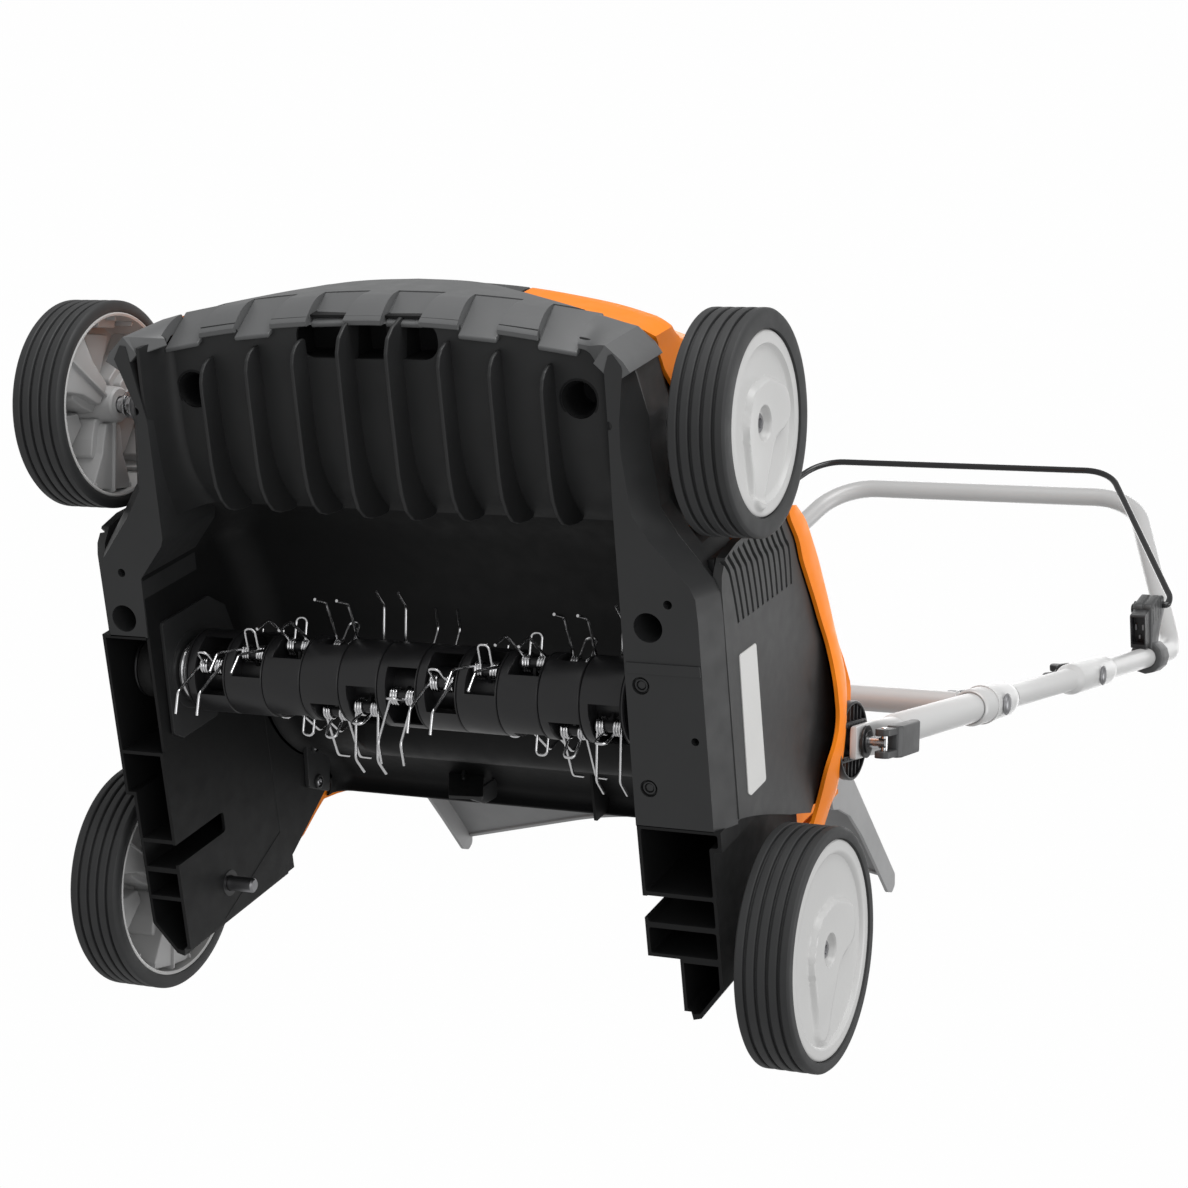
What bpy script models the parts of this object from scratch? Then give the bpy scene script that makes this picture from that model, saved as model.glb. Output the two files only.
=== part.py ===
"""Electric lawn scarifier with a spring-tine rotor and a folding handle.

Metres, Z up, +X right as seen from the front, the front points to -Y and the
handle rises at +Y. Everything is drawn with the rear axle at y = 0, and YC then
shifts the machine so that its bounding box is centred in Y.
"""
import math

import bmesh
import bpy
from mathutils import Matrix, Vector

for old in list(bpy.data.objects):
    bpy.data.objects.remove(old, do_unlink=True)

# ---------------------------------------------------------------- dimensions
YC = 0.1461                 # shift of the whole machine along Y

REAR_R, FRONT_R = 0.0845, 0.0741          # tyre radii
REAR_X, FRONT_X = (0.2439, 0.2840), (0.2280, 0.2675)
REAR_Y, FRONT_Y = 0.0, -0.3740
PIVOT_Y, PIVOT_Z = -0.3176, 0.0933        # cranked front axle
ROTOR_Y, ROTOR_Z = -0.1780, 0.0690
DRUM_R, DRUM_WALL = 0.0300, 0.0025
SEGMENTS, PITCH, FIRST_X = 11, 0.0310, -0.1620
WINDOW_STEP, WINDOW_MID = 30.0, 10.0      # helix of the windows, degrees
MOTOR_Y, MOTOR_Z, MOTOR_R = -0.1250, 0.2400, 0.0420
PULLEY_ROTOR_R, PULLEY_MOTOR_R = 0.0200, 0.0100
FLOOR_Z = 0.0225                          # lower edge of the mouldings
LEG_X, LEG_SLOPE = 0.2630, 0.2810         # handle legs, dy/dz
TILT_Y, TILT_Z = -0.0980, 0.2220          # handle pivot
TUBE_R, LEG_R, WALL = 0.0100, 0.0120, 0.0012
BAIL_Y, BAIL_Z, BAIL_R = 0.0880, 1.0780, 0.0035
FLAP_Y, FLAP_Z = -0.0500, 0.3400          # flap hinge
CHEEK = (0.1935, 0.1965)                  # flap cheeks, inside the side plates
GAP = 0.0003
BORE = (TUBE_R + GAP) / math.cos(math.pi / 12)      # twelve-sided bore that clears the upper tube

LEG_U = Vector((0.0, LEG_SLOPE, 1.0)).normalized()
LEG_N = Vector((0.0, LEG_U.z, -LEG_U.y))


def leg(z, x=LEG_X):
    return Vector((x, -0.0633 + (z - 0.3515) * LEG_SLOPE, z))


# ------------------------------------------------------------------- helpers
COLOURS = {
    "charcoal": (0.035, 0.037, 0.038), "soot": (0.02, 0.02, 0.021),
    "slate": (0.09, 0.093, 0.095), "orange": (0.9, 0.27, 0.02),
    "rubber": (0.03, 0.031, 0.032), "hub": (0.62, 0.62, 0.61),
    "steel": (0.55, 0.55, 0.56), "silver": (0.78, 0.78, 0.78),
    "flap": (0.25, 0.25, 0.25), "plate": (0.75, 0.75, 0.75),
    "copper": (0.5, 0.25, 0.12),
}


def raw(verts, faces):
    me = bpy.data.meshes.new("m")
    me.from_pydata([tuple(v) for v in verts], [], faces)
    bm = bmesh.new()
    bm.from_mesh(me)
    bmesh.ops.recalc_face_normals(bm, faces=bm.faces)
    bm.to_mesh(me)
    bm.free()
    return me


def obj(me):
    o = bpy.data.objects.new("o", me)
    bpy.context.scene.collection.objects.link(o)
    return o


def prism(poly, axis, lo, hi):
    """Polygon drawn in the two other axes, in x, y, z order, pulled from lo to hi along axis."""
    def put(a, b, c):
        return {"X": (c, a, b), "Y": (a, c, b), "Z": (a, b, c)}[axis]
    n = len(poly)
    verts = [put(a, b, lo) for a, b in poly] + [put(a, b, hi) for a, b in poly]
    faces = [tuple(range(n)), tuple(range(n, 2 * n))]
    faces += [(i, (i + 1) % n, n + (i + 1) % n, n + i) for i in range(n)]
    return obj(raw(verts, faces))


def box(x0, x1, y0, y1, z0, z1):
    return prism([(x0, y0), (x1, y0), (x1, y1), (x0, y1)], "Z", z0, z1)


def frame_of(direction):
    w = Vector(direction).normalized()
    u = Vector((0, 0, 1)).cross(w) if abs(w.z) < 0.9 else Vector((1, 0, 0)).cross(w)
    u.normalize()
    return u, w.cross(u), w


def lathe(profile, origin, direction, n=24, closed=True):
    """Turns (s, r) points, s along direction, into a solid of revolution."""
    u, v, w = frame_of(direction)
    o = Vector(origin)
    verts, rings = [], []
    for s, r in profile:
        if r <= 1e-9:
            rings.append([len(verts)])
            verts.append(o + w * s)
        else:
            rings.append(list(range(len(verts), len(verts) + n)))
            verts += [o + w * s + (u * math.cos(2 * math.pi * k / n) + v * math.sin(2 * math.pi * k / n)) * r
                      for k in range(n)]
    faces = []
    pairs = list(zip(rings, rings[1:]))
    if closed:
        pairs.append((rings[-1], rings[0]))
    for a, b in pairs:
        if len(a) == 1 and len(b) == 1:
            continue
        for k in range(n):
            j = (k + 1) % n
            if len(a) == 1:
                faces.append((a[0], b[k], b[j]))
            elif len(b) == 1:
                faces.append((a[k], a[j], b[0]))
            else:
                faces.append((a[k], a[j], b[j], b[k]))
    return obj(raw(verts, faces))


def rod(a, b, r, n=12):
    a, b = Vector(a), Vector(b)
    length = (b - a).length
    return lathe([(0, 0), (0, r), (length, r), (length, 0)], a, b - a, n, closed=False)


def ring(a, b, r0, r1, n=16):
    a, b = Vector(a), Vector(b)
    length = (b - a).length
    return lathe([(0, r0), (0, r1), (length, r1), (length, r0)], a, b - a, n)


def rounded(points, radius, steps=3):
    """Polyline with its inner corners replaced by arcs."""
    points = [Vector(p) for p in points]
    out = [points[0]]
    for i in range(1, len(points) - 1):
        p, q, s = points[i - 1], points[i], points[i + 1]
        a, b = (p - q).normalized(), (s - q).normalized()
        half = a.angle(b) / 2
        cut = min(radius / math.tan(half), 0.48 * (p - q).length, 0.48 * (s - q).length)
        r = cut * math.tan(half)
        centre = q + (a + b).normalized() * (r / math.sin(half))
        start, end = q + a * cut - centre, q + b * cut - centre
        turn = start.angle(end)
        for k in range(steps + 1):
            t = k / steps
            if turn < 1e-4:
                v = start.lerp(end, t)
            else:
                v = (start * math.sin((1 - t) * turn) + end * math.sin(t * turn)) / math.sin(turn)
            out.append(centre + v)
    out.append(points[-1])
    return out


def tube(path, r, n=10, inner=None):
    """Round bar along a path, or a pipe open at both ends if inner is given."""
    path = [Vector(p) for p in path]
    tangents = []
    for i in range(len(path)):
        a = (path[i] - path[i - 1]).normalized() if i else None
        b = (path[i + 1] - path[i]).normalized() if i + 1 < len(path) else None
        tangents.append(((a or b) + (b or a)).normalized())
    u, v, _ = frame_of(tangents[0])
    loops = []
    prev = tangents[0]
    for p, t in zip(path, tangents):
        q = prev.rotation_difference(t)
        u = (q @ u)
        u = (u - t * u.dot(t)).normalized()
        v = t.cross(u)
        prev = t
        loops.append([(u * math.cos(2 * math.pi * k / n) + v * math.sin(2 * math.pi * k / n)) for k in range(n)])
    verts, faces = [], []
    m = len(path)
    radii = [r] if inner is None else [r, inner]
    for rad in radii:
        for p, lp in zip(path, loops):
            verts += [p + d * rad for d in lp]
    for layer in range(len(radii)):
        base = layer * m * n
        for i in range(m - 1):
            for k in range(n):
                j = (k + 1) % n
                faces.append((base + i * n + k, base + i * n + j, base + (i + 1) * n + j, base + (i + 1) * n + k))
    if inner is None:
        faces += [tuple(range(n)), tuple((m - 1) * n + k for k in range(n))]
    else:
        for i in (0, m - 1):
            for k in range(n):
                j = (k + 1) % n
                faces.append((i * n + k, i * n + j, m * n + i * n + j, m * n + i * n + k))
    return obj(raw(verts, faces))


def boolean(a, b, operation, self_cuts=False):
    m = a.modifiers.new("b", "BOOLEAN")
    m.operation, m.solver, m.object, m.use_self = operation, "EXACT", b, self_cuts
    bpy.context.view_layer.update()
    me = bpy.data.meshes.new_from_object(a.evaluated_get(bpy.context.evaluated_depsgraph_get()))
    a.modifiers.clear()
    a.data = me
    bpy.data.objects.remove(b, do_unlink=True)
    return a


def joined(parts):
    bm = bmesh.new()
    for p in parts:
        bm.from_mesh(p.data)
        bpy.data.objects.remove(p, do_unlink=True)
    me = bpy.data.meshes.new("m")
    bm.to_mesh(me)
    bm.free()
    return obj(me)


def union(parts):
    first = parts[0]
    if len(parts) == 1:
        return first
    return boolean(first, joined(parts[1:]), "UNION", True)


def cut(a, tools):
    for t in tools:
        boolean(a, t, "DIFFERENCE")
    return a


def thick(points, t):
    """Closed band of thickness t to the left of a 2-D polyline."""
    points = [Vector(p) for p in points]
    off = []
    for i, p in enumerate(points):
        a = (points[i] - points[i - 1]).normalized() if i else None
        b = (points[i + 1] - points[i]).normalized() if i + 1 < len(points) else None
        a, b = a or b, b or a
        na, nb = Vector((-a.y, a.x)), Vector((-b.y, b.x))
        mid = (na + nb).normalized()
        off.append(p + mid * (t / max(0.5, mid.dot(na))))
    return [tuple(p) for p in points] + [tuple(p) for p in reversed(off)]


def lerp_table(table, t):
    if t <= table[0][0]:
        return table[0][1]
    for (a, va), (b, vb) in zip(table, table[1:]):
        if t <= b:
            return va + (vb - va) * (t - a) / (b - a)
    return table[-1][1]


def mirror_x(points):
    return [(-x, y) for x, y in points]


PARTS = {}


def keep(name, o, colour, pivot=(0, 0, 0), metal=0.0, rough=0.5):
    mat = bpy.data.materials.new(name + "_mat")
    mat.use_nodes = True
    bsdf = mat.node_tree.nodes["Principled BSDF"]
    bsdf.inputs["Base Color"].default_value = (*COLOURS[colour], 1)
    bsdf.inputs["Metallic"].default_value = metal
    bsdf.inputs["Roughness"].default_value = rough
    p = Vector(pivot)
    o.data.transform(Matrix.Translation(-p))
    o.location = p + Vector((0, YC, 0))
    o.name = name
    o.data.name = name
    o.data.materials.clear()
    o.data.materials.append(mat)
    for f in o.data.polygons:
        f.material_index = 0
    PARTS[name] = o
    return o


# ------------------------------------------------------------ lower moulding
arc_o = [(-0.2050, -0.4126), (-0.1917, -0.4256), (-0.1500, -0.4400), (-0.0994, -0.4496), (-0.0500, -0.4550),
         (0.0, -0.4566), (0.0500, -0.4550), (0.0994, -0.4490), (0.1500, -0.4400), (0.1880, -0.4270), (0.1960, -0.4180)]


def inward(points, d):
    """Arc moved by d towards the inside of the machine, square to itself."""
    out = []
    for i, (x, y) in enumerate(points):
        a, b = points[max(i - 1, 0)], points[min(i + 1, len(points) - 1)]
        t = Vector((b[0] - a[0], b[1] - a[1])).normalized()
        out.append((x - t.y * d, y + t.x * d))
    return out


def swept(section, points):
    """Closed section of (inward distance, z) carried along an arc seen from above; z may depend on x."""
    m = len(section(0.0))
    verts = []
    for i in range(len(points)):
        sec = section(points[i][0])
        for d, z in sec:
            x, y = inward(points, d)[i]
            verts.append((x, y, z))
    faces = [tuple(range(m)), tuple((len(points) - 1) * m + k for k in range(m))]
    for i in range(len(points) - 1):
        for k in range(m):
            j = (k + 1) % m
            faces.append((i * m + k, i * m + j, (i + 1) * m + j, (i + 1) * m + k))
    return obj(raw(verts, faces))


STRIP_TOP = [(0.0, 0.1200), (0.06, 0.1200), (0.092, 0.1070), (0.12, 0.1005), (0.15, 0.0950), (0.21, 0.0950)]


def strip_top(x):
    return lerp_table(STRIP_TOP, abs(x))


arc_i = list(reversed(inward(arc_o, 0.0240)))
ceiling = [(-0.450, 0.0505), (-0.400, 0.0505), (-0.362, 0.0505), (-0.344, 0.0530), (-0.329, 0.0580),
           (-0.315, 0.0665), (-0.304, 0.0765), (-0.292, 0.088), (-0.280, 0.106), (-0.262, 0.131), (-0.235, 0.152), (-0.200, 0.163),
           (-0.160, 0.166), (-0.120, 0.173), (-0.085, 0.190), (-0.062, 0.212), (-0.045, 0.238),
           (-0.015, 0.258), (-0.0085, 0.2515)]
deck = prism(thick(ceiling, 0.003), "X", -0.1990, 0.1990)

rail_r = [(0.1700, -0.4315), (0.1786, -0.3855), (0.1771, -0.3304), (0.1762, -0.2686), (0.1754, -0.2202),
          (0.1738, -0.1050), (0.2297, -0.1050), (0.2302, -0.2277), (0.2300, -0.2650), (0.2260, -0.2785),
          (0.2005, -0.3079), (0.1899, -0.3254), (0.1865, -0.3662), (0.1870, -0.3858), (0.1935, -0.4251),
          (0.1860, -0.4330)]
rail_l = [(-0.1680, -0.4320), (-0.1745, -0.3857), (-0.1745, -0.2923), (-0.1765, -0.2864), (-0.1943, -0.2616),
          (-0.1958, -0.2165), (-0.2274, -0.2165), (-0.2274, -0.2680), (-0.2235, -0.2790), (-0.1985, -0.3079),
          (-0.1880, -0.3254), (-0.1850, -0.3662), (-0.1855, -0.3857), (-0.1915, -0.4231), (-0.1840, -0.4325)]
right_rail = prism(rail_r, "Z", FLOOR_Z + 0.0005, 0.1520)
left_rail = prism(rail_l, "Z", FLOOR_Z + 0.0005, 0.1520)

outer_r = [(0.2345, -0.1085), (0.2345, -0.0940), (0.2280, -0.0940), (0.2275, 0.0080), (0.2098, 0.0305),
           (0.2037, 0.0322), (0.2026, 0.0262), (0.1975, 0.0262), (0.1975, -0.0125), (0.1740, -0.0125),
           (0.1740, -0.1085)]
outer_l = [(-0.2345, -0.2180), (-0.2345, -0.0940), (-0.2280, -0.0940), (-0.2275, 0.0080), (-0.2098, 0.0305),
           (-0.2037, 0.0322), (-0.2026, 0.0262), (-0.1975, 0.0262), (-0.1975, -0.1265), (-0.1975, -0.2180)]
cell_webs = ((-0.1060, -0.0605), (-0.0575, -0.0380), (-0.0340, -0.0150))
right_box = prism(outer_r, "Z", FLOOR_Z, 0.1740)
for y0, y1 in cell_webs:
    x1 = 0.2320 if y1 < -0.0600 else 0.2255
    if y0 < -0.1:
        cell = prism([(0.1765, y0), (0.2320, y0), (0.2320, -0.0965), (0.2255, -0.0965), (0.2255, y1), (0.1765, y1)],
                     "Z", 0.0100, 0.1700)
    else:
        cell = box(0.1765, 0.2255, y0, y1, 0.0100, 0.1700)
    cut(right_box, [cell])
cut(right_box, [prism([(0.2000, -0.0100), (0.2252, -0.0100), (0.2250, 0.0070), (0.2090, 0.0272), (0.2045, 0.0280),
                       (0.2000, 0.0237)], "Z", 0.0100, 0.1700)])
left_box = prism(outer_l, "Z", FLOOR_Z, 0.1740)
left_cells = [
    prism([(-0.2320, -0.1265), (-0.2320, -0.0965), (-0.2255, -0.0965), (-0.2255, -0.0605), (-0.2000, -0.0605),
           (-0.2000, -0.1265)], "Z", 0.0100, 0.1700),
    box(-0.2255, -0.2000, -0.0575, -0.0380, 0.0100, 0.1700),
    box(-0.2255, -0.2000, -0.0340, -0.0150, 0.0100, 0.1700),
    prism([(-0.2000, -0.0120), (-0.2253, -0.0120), (-0.2250, 0.0070), (-0.2090, 0.0272), (-0.2045, 0.0280),
           (-0.2000, 0.0237)], "Z", 0.0100, 0.1700),
    box(-0.2320, -0.1900, -0.2155, -0.1290, 0.0100, 0.2000),      # drive chamber, open inwards and upwards
    box(-0.2310, -0.1990, -0.2000, -0.1050, 0.1300, 0.2000),      # way up for the belt
]
cut(left_box, left_cells)

plate = [(-0.0100, 0.1600), (0.0255, 0.0700), (0.0262, 0.0861), (0.0277, 0.1495), (0.0201, 0.1740), (-0.0104, 0.2357),
         (-0.0160, 0.2470), (-0.0600, 0.2300), (-0.1290, 0.1900), (-0.1290, 0.1600)]
left_plate = prism(plate, "X", -0.1996, -0.1972)
right_plate = prism(plate, "X", 0.1972, 0.1996)

ribs = []
for k in range(8):
    x = (k - 3.5) * 0.0369
    tip = (-0.4330, -0.4312, -0.4258, -0.4174)[abs(k - 3) if k < 4 else k - 4]
    if abs(x) < 0.05:
        tip = -0.4300
    ribs.append(prism([(tip, 0.0530), (tip, 0.0460), (tip + 0.0035, 0.0380), (tip + 0.0110, 0.0330), (-0.4030, 0.0316),
                       (-0.3422, 0.0332), (-0.3250, 0.0355), (-0.3130, 0.0410), (-0.3060, 0.0510), (-0.3030, 0.0640),
                       (-0.3030, 0.0775), (-0.3290, 0.0590), (-0.3620, 0.0530)], "X", x - 0.0014, x + 0.0014))
bulge = lathe([(-0.135, 0), (-0.135, 0.022), (-0.125, 0.030), (0.102, 0.030), (0.112, 0.022), (0.112, 0)],
              (0, -0.0950, 0.2080), (1, 0, 0), 16, closed=False)
cut(bulge, [prism([(-0.2, 0.1790), (-0.13, 0.1790), (-0.1, 0.1880), (-0.075, 0.2060), (-0.05, 0.2400), (-0.05, 0.3),
                   (-0.2, 0.3)], "X", -0.2, 0.2)])
wall_r = prism([(-0.270, 0.040), (-0.107, 0.040), (-0.107, 0.172), (-0.150, 0.176), (-0.270, 0.150)],
               "X", 0.2285, 0.2340)
wall_l = prism([(-0.270, 0.040), (-0.2150, 0.040), (-0.2150, 0.172), (-0.240, 0.170), (-0.270, 0.150)],
               "X", -0.2340, -0.2260)

housing = union([deck, right_rail, left_rail, right_box, left_box, left_plate, right_plate, bulge, wall_r, wall_l]
                + ribs)
notch = inward(arc_o, -0.0300) + list(reversed(inward(arc_o, 0.0244)))
cut(housing, [prism(notch, "Z", 0.0100, 0.1700)])
cut(housing, [prism([(-0.4800, 0.0935), (-0.4250, 0.0935), (-0.4050, 0.1180), (-0.3800, 0.1400), (-0.3650, 0.1600),
                     (-0.3650, 0.2000), (-0.4800, 0.2000)], "X", -0.3, 0.3)])
for side in (1, -1):
    slot = [(-0.0570, 0.0100), (-0.0410, 0.0100), (-0.0410, 0.0840), (-0.0430, 0.0880), (-0.0550, 0.0880),
            (-0.0570, 0.0840)]
    x0, x1 = (0.1700, 0.1800) if side > 0 else (-0.2030, -0.1960)
    cut(housing, [prism(slot, "X", x0, x1)])
    # crank axle passage, relief for its arm, rear axle seat
    cut(housing, [rod((side * 0.12, PIVOT_Y, PIVOT_Z), (side * 0.26, PIVOT_Y, PIVOT_Z), 0.0064, 16),
                  rod((side * 0.1985, PIVOT_Y, PIVOT_Z), (side * 0.2350, PIVOT_Y, PIVOT_Z), 0.0200, 14),
                  rod((side * 0.15, 0, REAR_R), (side * 0.26, 0, REAR_R), 0.0058, 16)])
    cut(housing, [rod((side * 0.147, -0.3930, 0.0300), (side * 0.147, -0.3930, 0.0800), 0.0110, 12),
                  rod((side * 0.179, -0.3840, 0.0100), (side * 0.179, -0.3840, 0.0400), 0.0028, 8),
                  rod((side * 0.2101, -0.2654, 0.0100), (side * 0.2101, -0.2654, 0.0500), 0.0030, 8)])
cut(housing, [rod((0.1948, -0.2489, 0.010), (0.1948, -0.2489, 0.070), 0.0100, 12),
              rod((-0.2120, -0.2330, 0.010), (-0.2120, -0.2330, 0.070), 0.0095, 12),
              box(-0.0500, 0.0500, -0.4400, -0.4190, 0.0300, 0.0600)])
for side in (1, -1):                       # slots that take the flap's cheeks when it closes
    x0, x1 = sorted((side * (CHEEK[0] - 0.0010), side * 0.1971))
    cut(housing, [prism([(-0.0650, 0.2000), (-0.0400, 0.2000), (0.0050, 0.2300), (0.0050, 0.3000), (-0.0650, 0.3000)],
                        "X", x0, x1)])
keep("chassis_housing", housing, "charcoal", rough=0.45)

# --------------------------------------------------------------- front strip


def strip_section(x):
    """Front wall with a rounded under-edge, thicker towards the bottom."""
    t = strip_top(x)
    end = abs(x) > 0.18
    low = 0.0225 if end else 0.0475
    return [(0.0, t), (0.0, 0.0780), (0.0020, 0.0660), (0.0070, 0.0550), (0.0150, low), (0.0240, low),
            (0.0240, 0.0580), (0.0160, 0.0760), (0.0105, 0.0880), (0.0105, t)]


strip = swept(strip_section, arc_o)
for k in range(6):
    x = -0.1500 + k * 0.0573
    y = -0.4566 + 0.80 * (x + 0.0) ** 2
    tilt = 1.6 * x
    verts = []
    for w, d, z in ((0.0175, -0.0300, 0.0830), (0.0175, 0.0020, 0.0830), (0.0135, 0.0180, 0.0450), (0.0135, -0.0300, 0.0450)):
        for sx in (-1, 1):
            verts.append((x + sx * w, y + d + tilt * sx * w, z - 0.0004))
    cut(strip, [obj(raw(verts, [(0, 2, 4, 6), (1, 3, 5, 7), (0, 1, 3, 2), (2, 3, 5, 4), (4, 5, 7, 6), (6, 7, 1, 0)]))])
cut(strip, [box(-0.0500, 0.0500, -0.4440, -0.4200, 0.0300, 0.0600)])
keep("front_strip", strip, "slate", rough=0.45)

# ----------------------------------------------------------- orange upper hood
RIM = [(-0.4560, 0.1080), (-0.4440, 0.1150), (-0.4350, 0.1380), (-0.4200, 0.1620), (-0.4000, 0.1740), (-0.3300, 0.1830), (-0.2887, 0.1900), (-0.2346, 0.2180),
       (-0.1389, 0.2570), (-0.1219, 0.2710), (-0.0900, 0.2500), (-0.0627, 0.2270), (-0.0500, 0.2150)]
CROWN = [(-0.4560, 0.1230), (-0.4440, 0.1500), (-0.4250, 0.1760), (-0.3800, 0.2020), (-0.3300, 0.2300), (-0.2600, 0.2670),
         (-0.2000, 0.2940), (-0.1400, 0.3150), (-0.0900, 0.3270), (-0.0450, 0.3300)]
HALF = [(0.0, 0.1930), (0.10, 0.1930), (0.22, 0.1940), (0.32, 0.2080), (0.40, 0.2400), (1.0, 0.2405)]
US = [-1.0, -0.93, -0.80, -0.62, -0.36, 0.0, 0.36, 0.62, 0.80, 0.93, 1.0]
VS = [0.0, 0.06, 0.16, 0.26, 0.33, 0.42, 0.55, 0.68, 0.76, 0.82, 0.90, 1.0]


def hood_top(u, v):
    half = lerp_table(HALF, v)
    x = u * half
    front = -0.4546 + 0.80 * min(abs(x), 0.19) ** 2
    rear = -0.0530 if abs(u) < 0.86 else -0.0560
    y = front + (rear - front) * v
    rim, crown = lerp_table(RIM, y), lerp_table(CROWN, y)
    s = max(0.0, 1 - abs(u)) ** 0.55 * 1.28
    s = min(1.0, s)
    z = rim + (crown - rim) * s
    if abs(u) == 1.0:
        z -= 0.0010
    return Vector((x, y, z))


def shell(drop, inset, us=US, vs=VS, skirt=0.0190):
    """Dome between two skins drop apart, with a skirt along both sides and the front."""
    top = [[hood_top(u, v) for v in vs] for u in us]
    nu, nv = len(us), len(vs)
    outer, inner = [], []
    for i in range(nu):
        outer.append([p.copy() for p in top[i]])
        inner.append([Vector((p.x * (1 - inset / max(abs(p.x), 0.05)) if abs(us[i]) == 1 else p.x,
                              p.y + (inset if j == 0 else 0), p.z - drop)) for j, p in enumerate(top[i])])
    verts, index = [], {}

    def add(key, p):
        index[key] = len(verts)
        verts.append(p)
    for i in range(nu):
        for j in range(nv):
            add(("o", i, j), outer[i][j])
            add(("i", i, j), inner[i][j])
    faces = []
    for i in range(nu - 1):
        for j in range(nv - 1):
            for s in "oi":
                faces.append((index[s, i, j], index[s, i + 1, j], index[s, i + 1, j + 1], index[s, i, j + 1]))
    # border, walked once round: skirt on the two sides and the front, plain edge at the rear
    border = [(i, 0) for i in range(nu)] + [(nu - 1, j) for j in range(1, nv)]
    border += [(i, nv - 1) for i in range(nu - 2, -1, -1)] + [(0, j) for j in range(nv - 2, 0, -1)]
    for i, j in border:
        rear = j == nv - 1 and 0 < i < nu - 1
        d = 0.0 if rear else skirt
        if j == 0:
            d = outer[i][0].z - strip_top(outer[i][0].x) + 0.0020
        if not rear:
            o, n = outer[i][j], inner[i][j]
            add(("ob", i, j), Vector((o.x, o.y, o.z - d)))
            add(("ib", i, j), Vector((n.x, n.y, o.z - d)))
    for a, b in zip(border, border[1:] + border[:1]):
        ra, rb = ("ob", *a) in index, ("ob", *b) in index
        if ra and rb:
            faces.append((index["o", *a], index["o", *b], index["ob", *b], index["ob", *a]))
            faces.append((index["i", *a], index["i", *b], index["ib", *b], index["ib", *a]))
            faces.append((index["ob", *a], index["ob", *b], index["ib", *b], index["ib", *a]))
        elif ra or rb:
            c, d = (a, b) if ra else (b, a)
            faces.append((index["o", *c], index["ob", *c], index["ib", *c], index["i", *c], index["i", *d],
                          index["o", *d]))
        else:
            faces.append((index["o", *a], index["o", *b], index["i", *b], index["i", *a]))
    me = raw(verts, faces)
    return obj(me)




def above_strip():
    """Room of the front strip and its seam, cut out of what stands on it."""
    def section(x):
        t = strip_top(x) + 0.0004
        return [(-0.0100, 0.0500), (-0.0100, t), (0.0150, t), (0.0150, 0.0500)]
    return swept(section, arc_o)


hood = shell(0.0030, 0.0030)
flange_l = prism([(-0.0620, 0.1790), (0.0205, 0.1790), (-0.0070, 0.2357), (-0.0410, 0.3050), (-0.0480, 0.3230),
                  (-0.0900, 0.3050)], "X", -0.2040, -0.2003)
flange_r = prism([(-0.0620, 0.1790), (0.0205, 0.1790), (-0.0070, 0.2357), (-0.0410, 0.3050), (-0.0480, 0.3230),
                  (-0.0900, 0.3050)], "X", 0.2003, 0.2040)
shoulders = [prism([(s * 0.2395, -0.0590), (s * 0.2395, -0.0560), (s * 0.2035, -0.0200), (s * 0.2035, -0.0240)], "Z",
                   0.1980, 0.2200) for s in (1, -1)]
hood = union([hood, flange_l, flange_r] + shoulders)
cover_outline = [(-0.0760, -0.4600), (0.0760, -0.4600), (0.0620, -0.2600), (0.0520, -0.1100), (0.0400, -0.0850),
                 (-0.0400, -0.0850), (-0.0520, -0.1100), (-0.0620, -0.2600)]
cut(hood, [above_strip(), box(CHEEK[0] - 0.0010, 0.1990, -0.1050, -0.0300, 0.2200, 0.3600),
           box(-0.1990, -CHEEK[0] + 0.0010, -0.1050, -0.0300, 0.2200, 0.3600),
           prism(cover_outline, "Z", 0.1000, 0.3600),
           box(-0.1600, -0.1400, -0.3720, -0.2920, 0.1500, 0.3000)])
keep("hood", hood, "orange", rough=0.35)

cover = shell(0.0030, 0.0030, us=[-0.42, -0.2, 0.0, 0.2, 0.42])
inside = prism([(x * 0.994, y * 1.0 - (0.0004 if y > -0.2 else 0)) for x, y in cover_outline], "Z", 0.1100, 0.3600)
boolean(cover, inside, "INTERSECT")
cut(cover, [above_strip()])
for k in range(5):
    y = -0.2300 + 0.0220 * k
    cut(cover, [box(-0.0300, 0.0300, y, y + 0.0090, 0.1500, 0.3600)])
keep("motor_cover", cover, "charcoal", rough=0.45)

# ---------------------------------------------------------------- side covers
arch = [(REAR_Y + 0.0965 * math.cos(math.radians(a)), REAR_R + 0.0965 * math.sin(math.radians(a)))
        for a in (196, 175, 155, 135, 118)]
low = [(-0.2940, 0.0640), (-0.2900, 0.0480), (-0.2700, 0.0400), (-0.1140, 0.0400)]
high = [(-0.0600, 0.1990), (-0.0900, 0.2260), (-0.1219, 0.2470), (-0.1389, 0.2330), (-0.2346, 0.1930),
        (-0.2887, 0.1650), (-0.2940, 0.1480)]
for side, name in ((1, "side_cover_right"), (-1, "side_cover_left")):
    x0, x1 = sorted((side * 0.2350, side * 0.2402))
    cover_s = prism(low + arch + high, "X", x0, x1)
    for k in range(8):
        y = -0.2870 + k * 0.0095
        z0, z1 = 0.0750 + 0.0045 * k, 0.1450 + 0.0045 * k
        cut(cover_s, [box(*sorted((side * 0.2385, side * 0.2450)), y, y + 0.0045, z0, z1)])
    cut(cover_s, [rod((side * 0.22, TILT_Y, TILT_Z), (side * 0.26, TILT_Y, TILT_Z), 0.0062, 12)])
    keep(name, cover_s, "charcoal", rough=0.5)

plate_side = prism([(-0.2182, 0.0895), (-0.2200, 0.0600), (-0.1225, 0.0575), (-0.1197, 0.0620), (-0.1197, 0.0895)],
                   "X", 0.2405, 0.2411)
keep("blank_plate", plate_side, "plate", rough=0.4)

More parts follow.
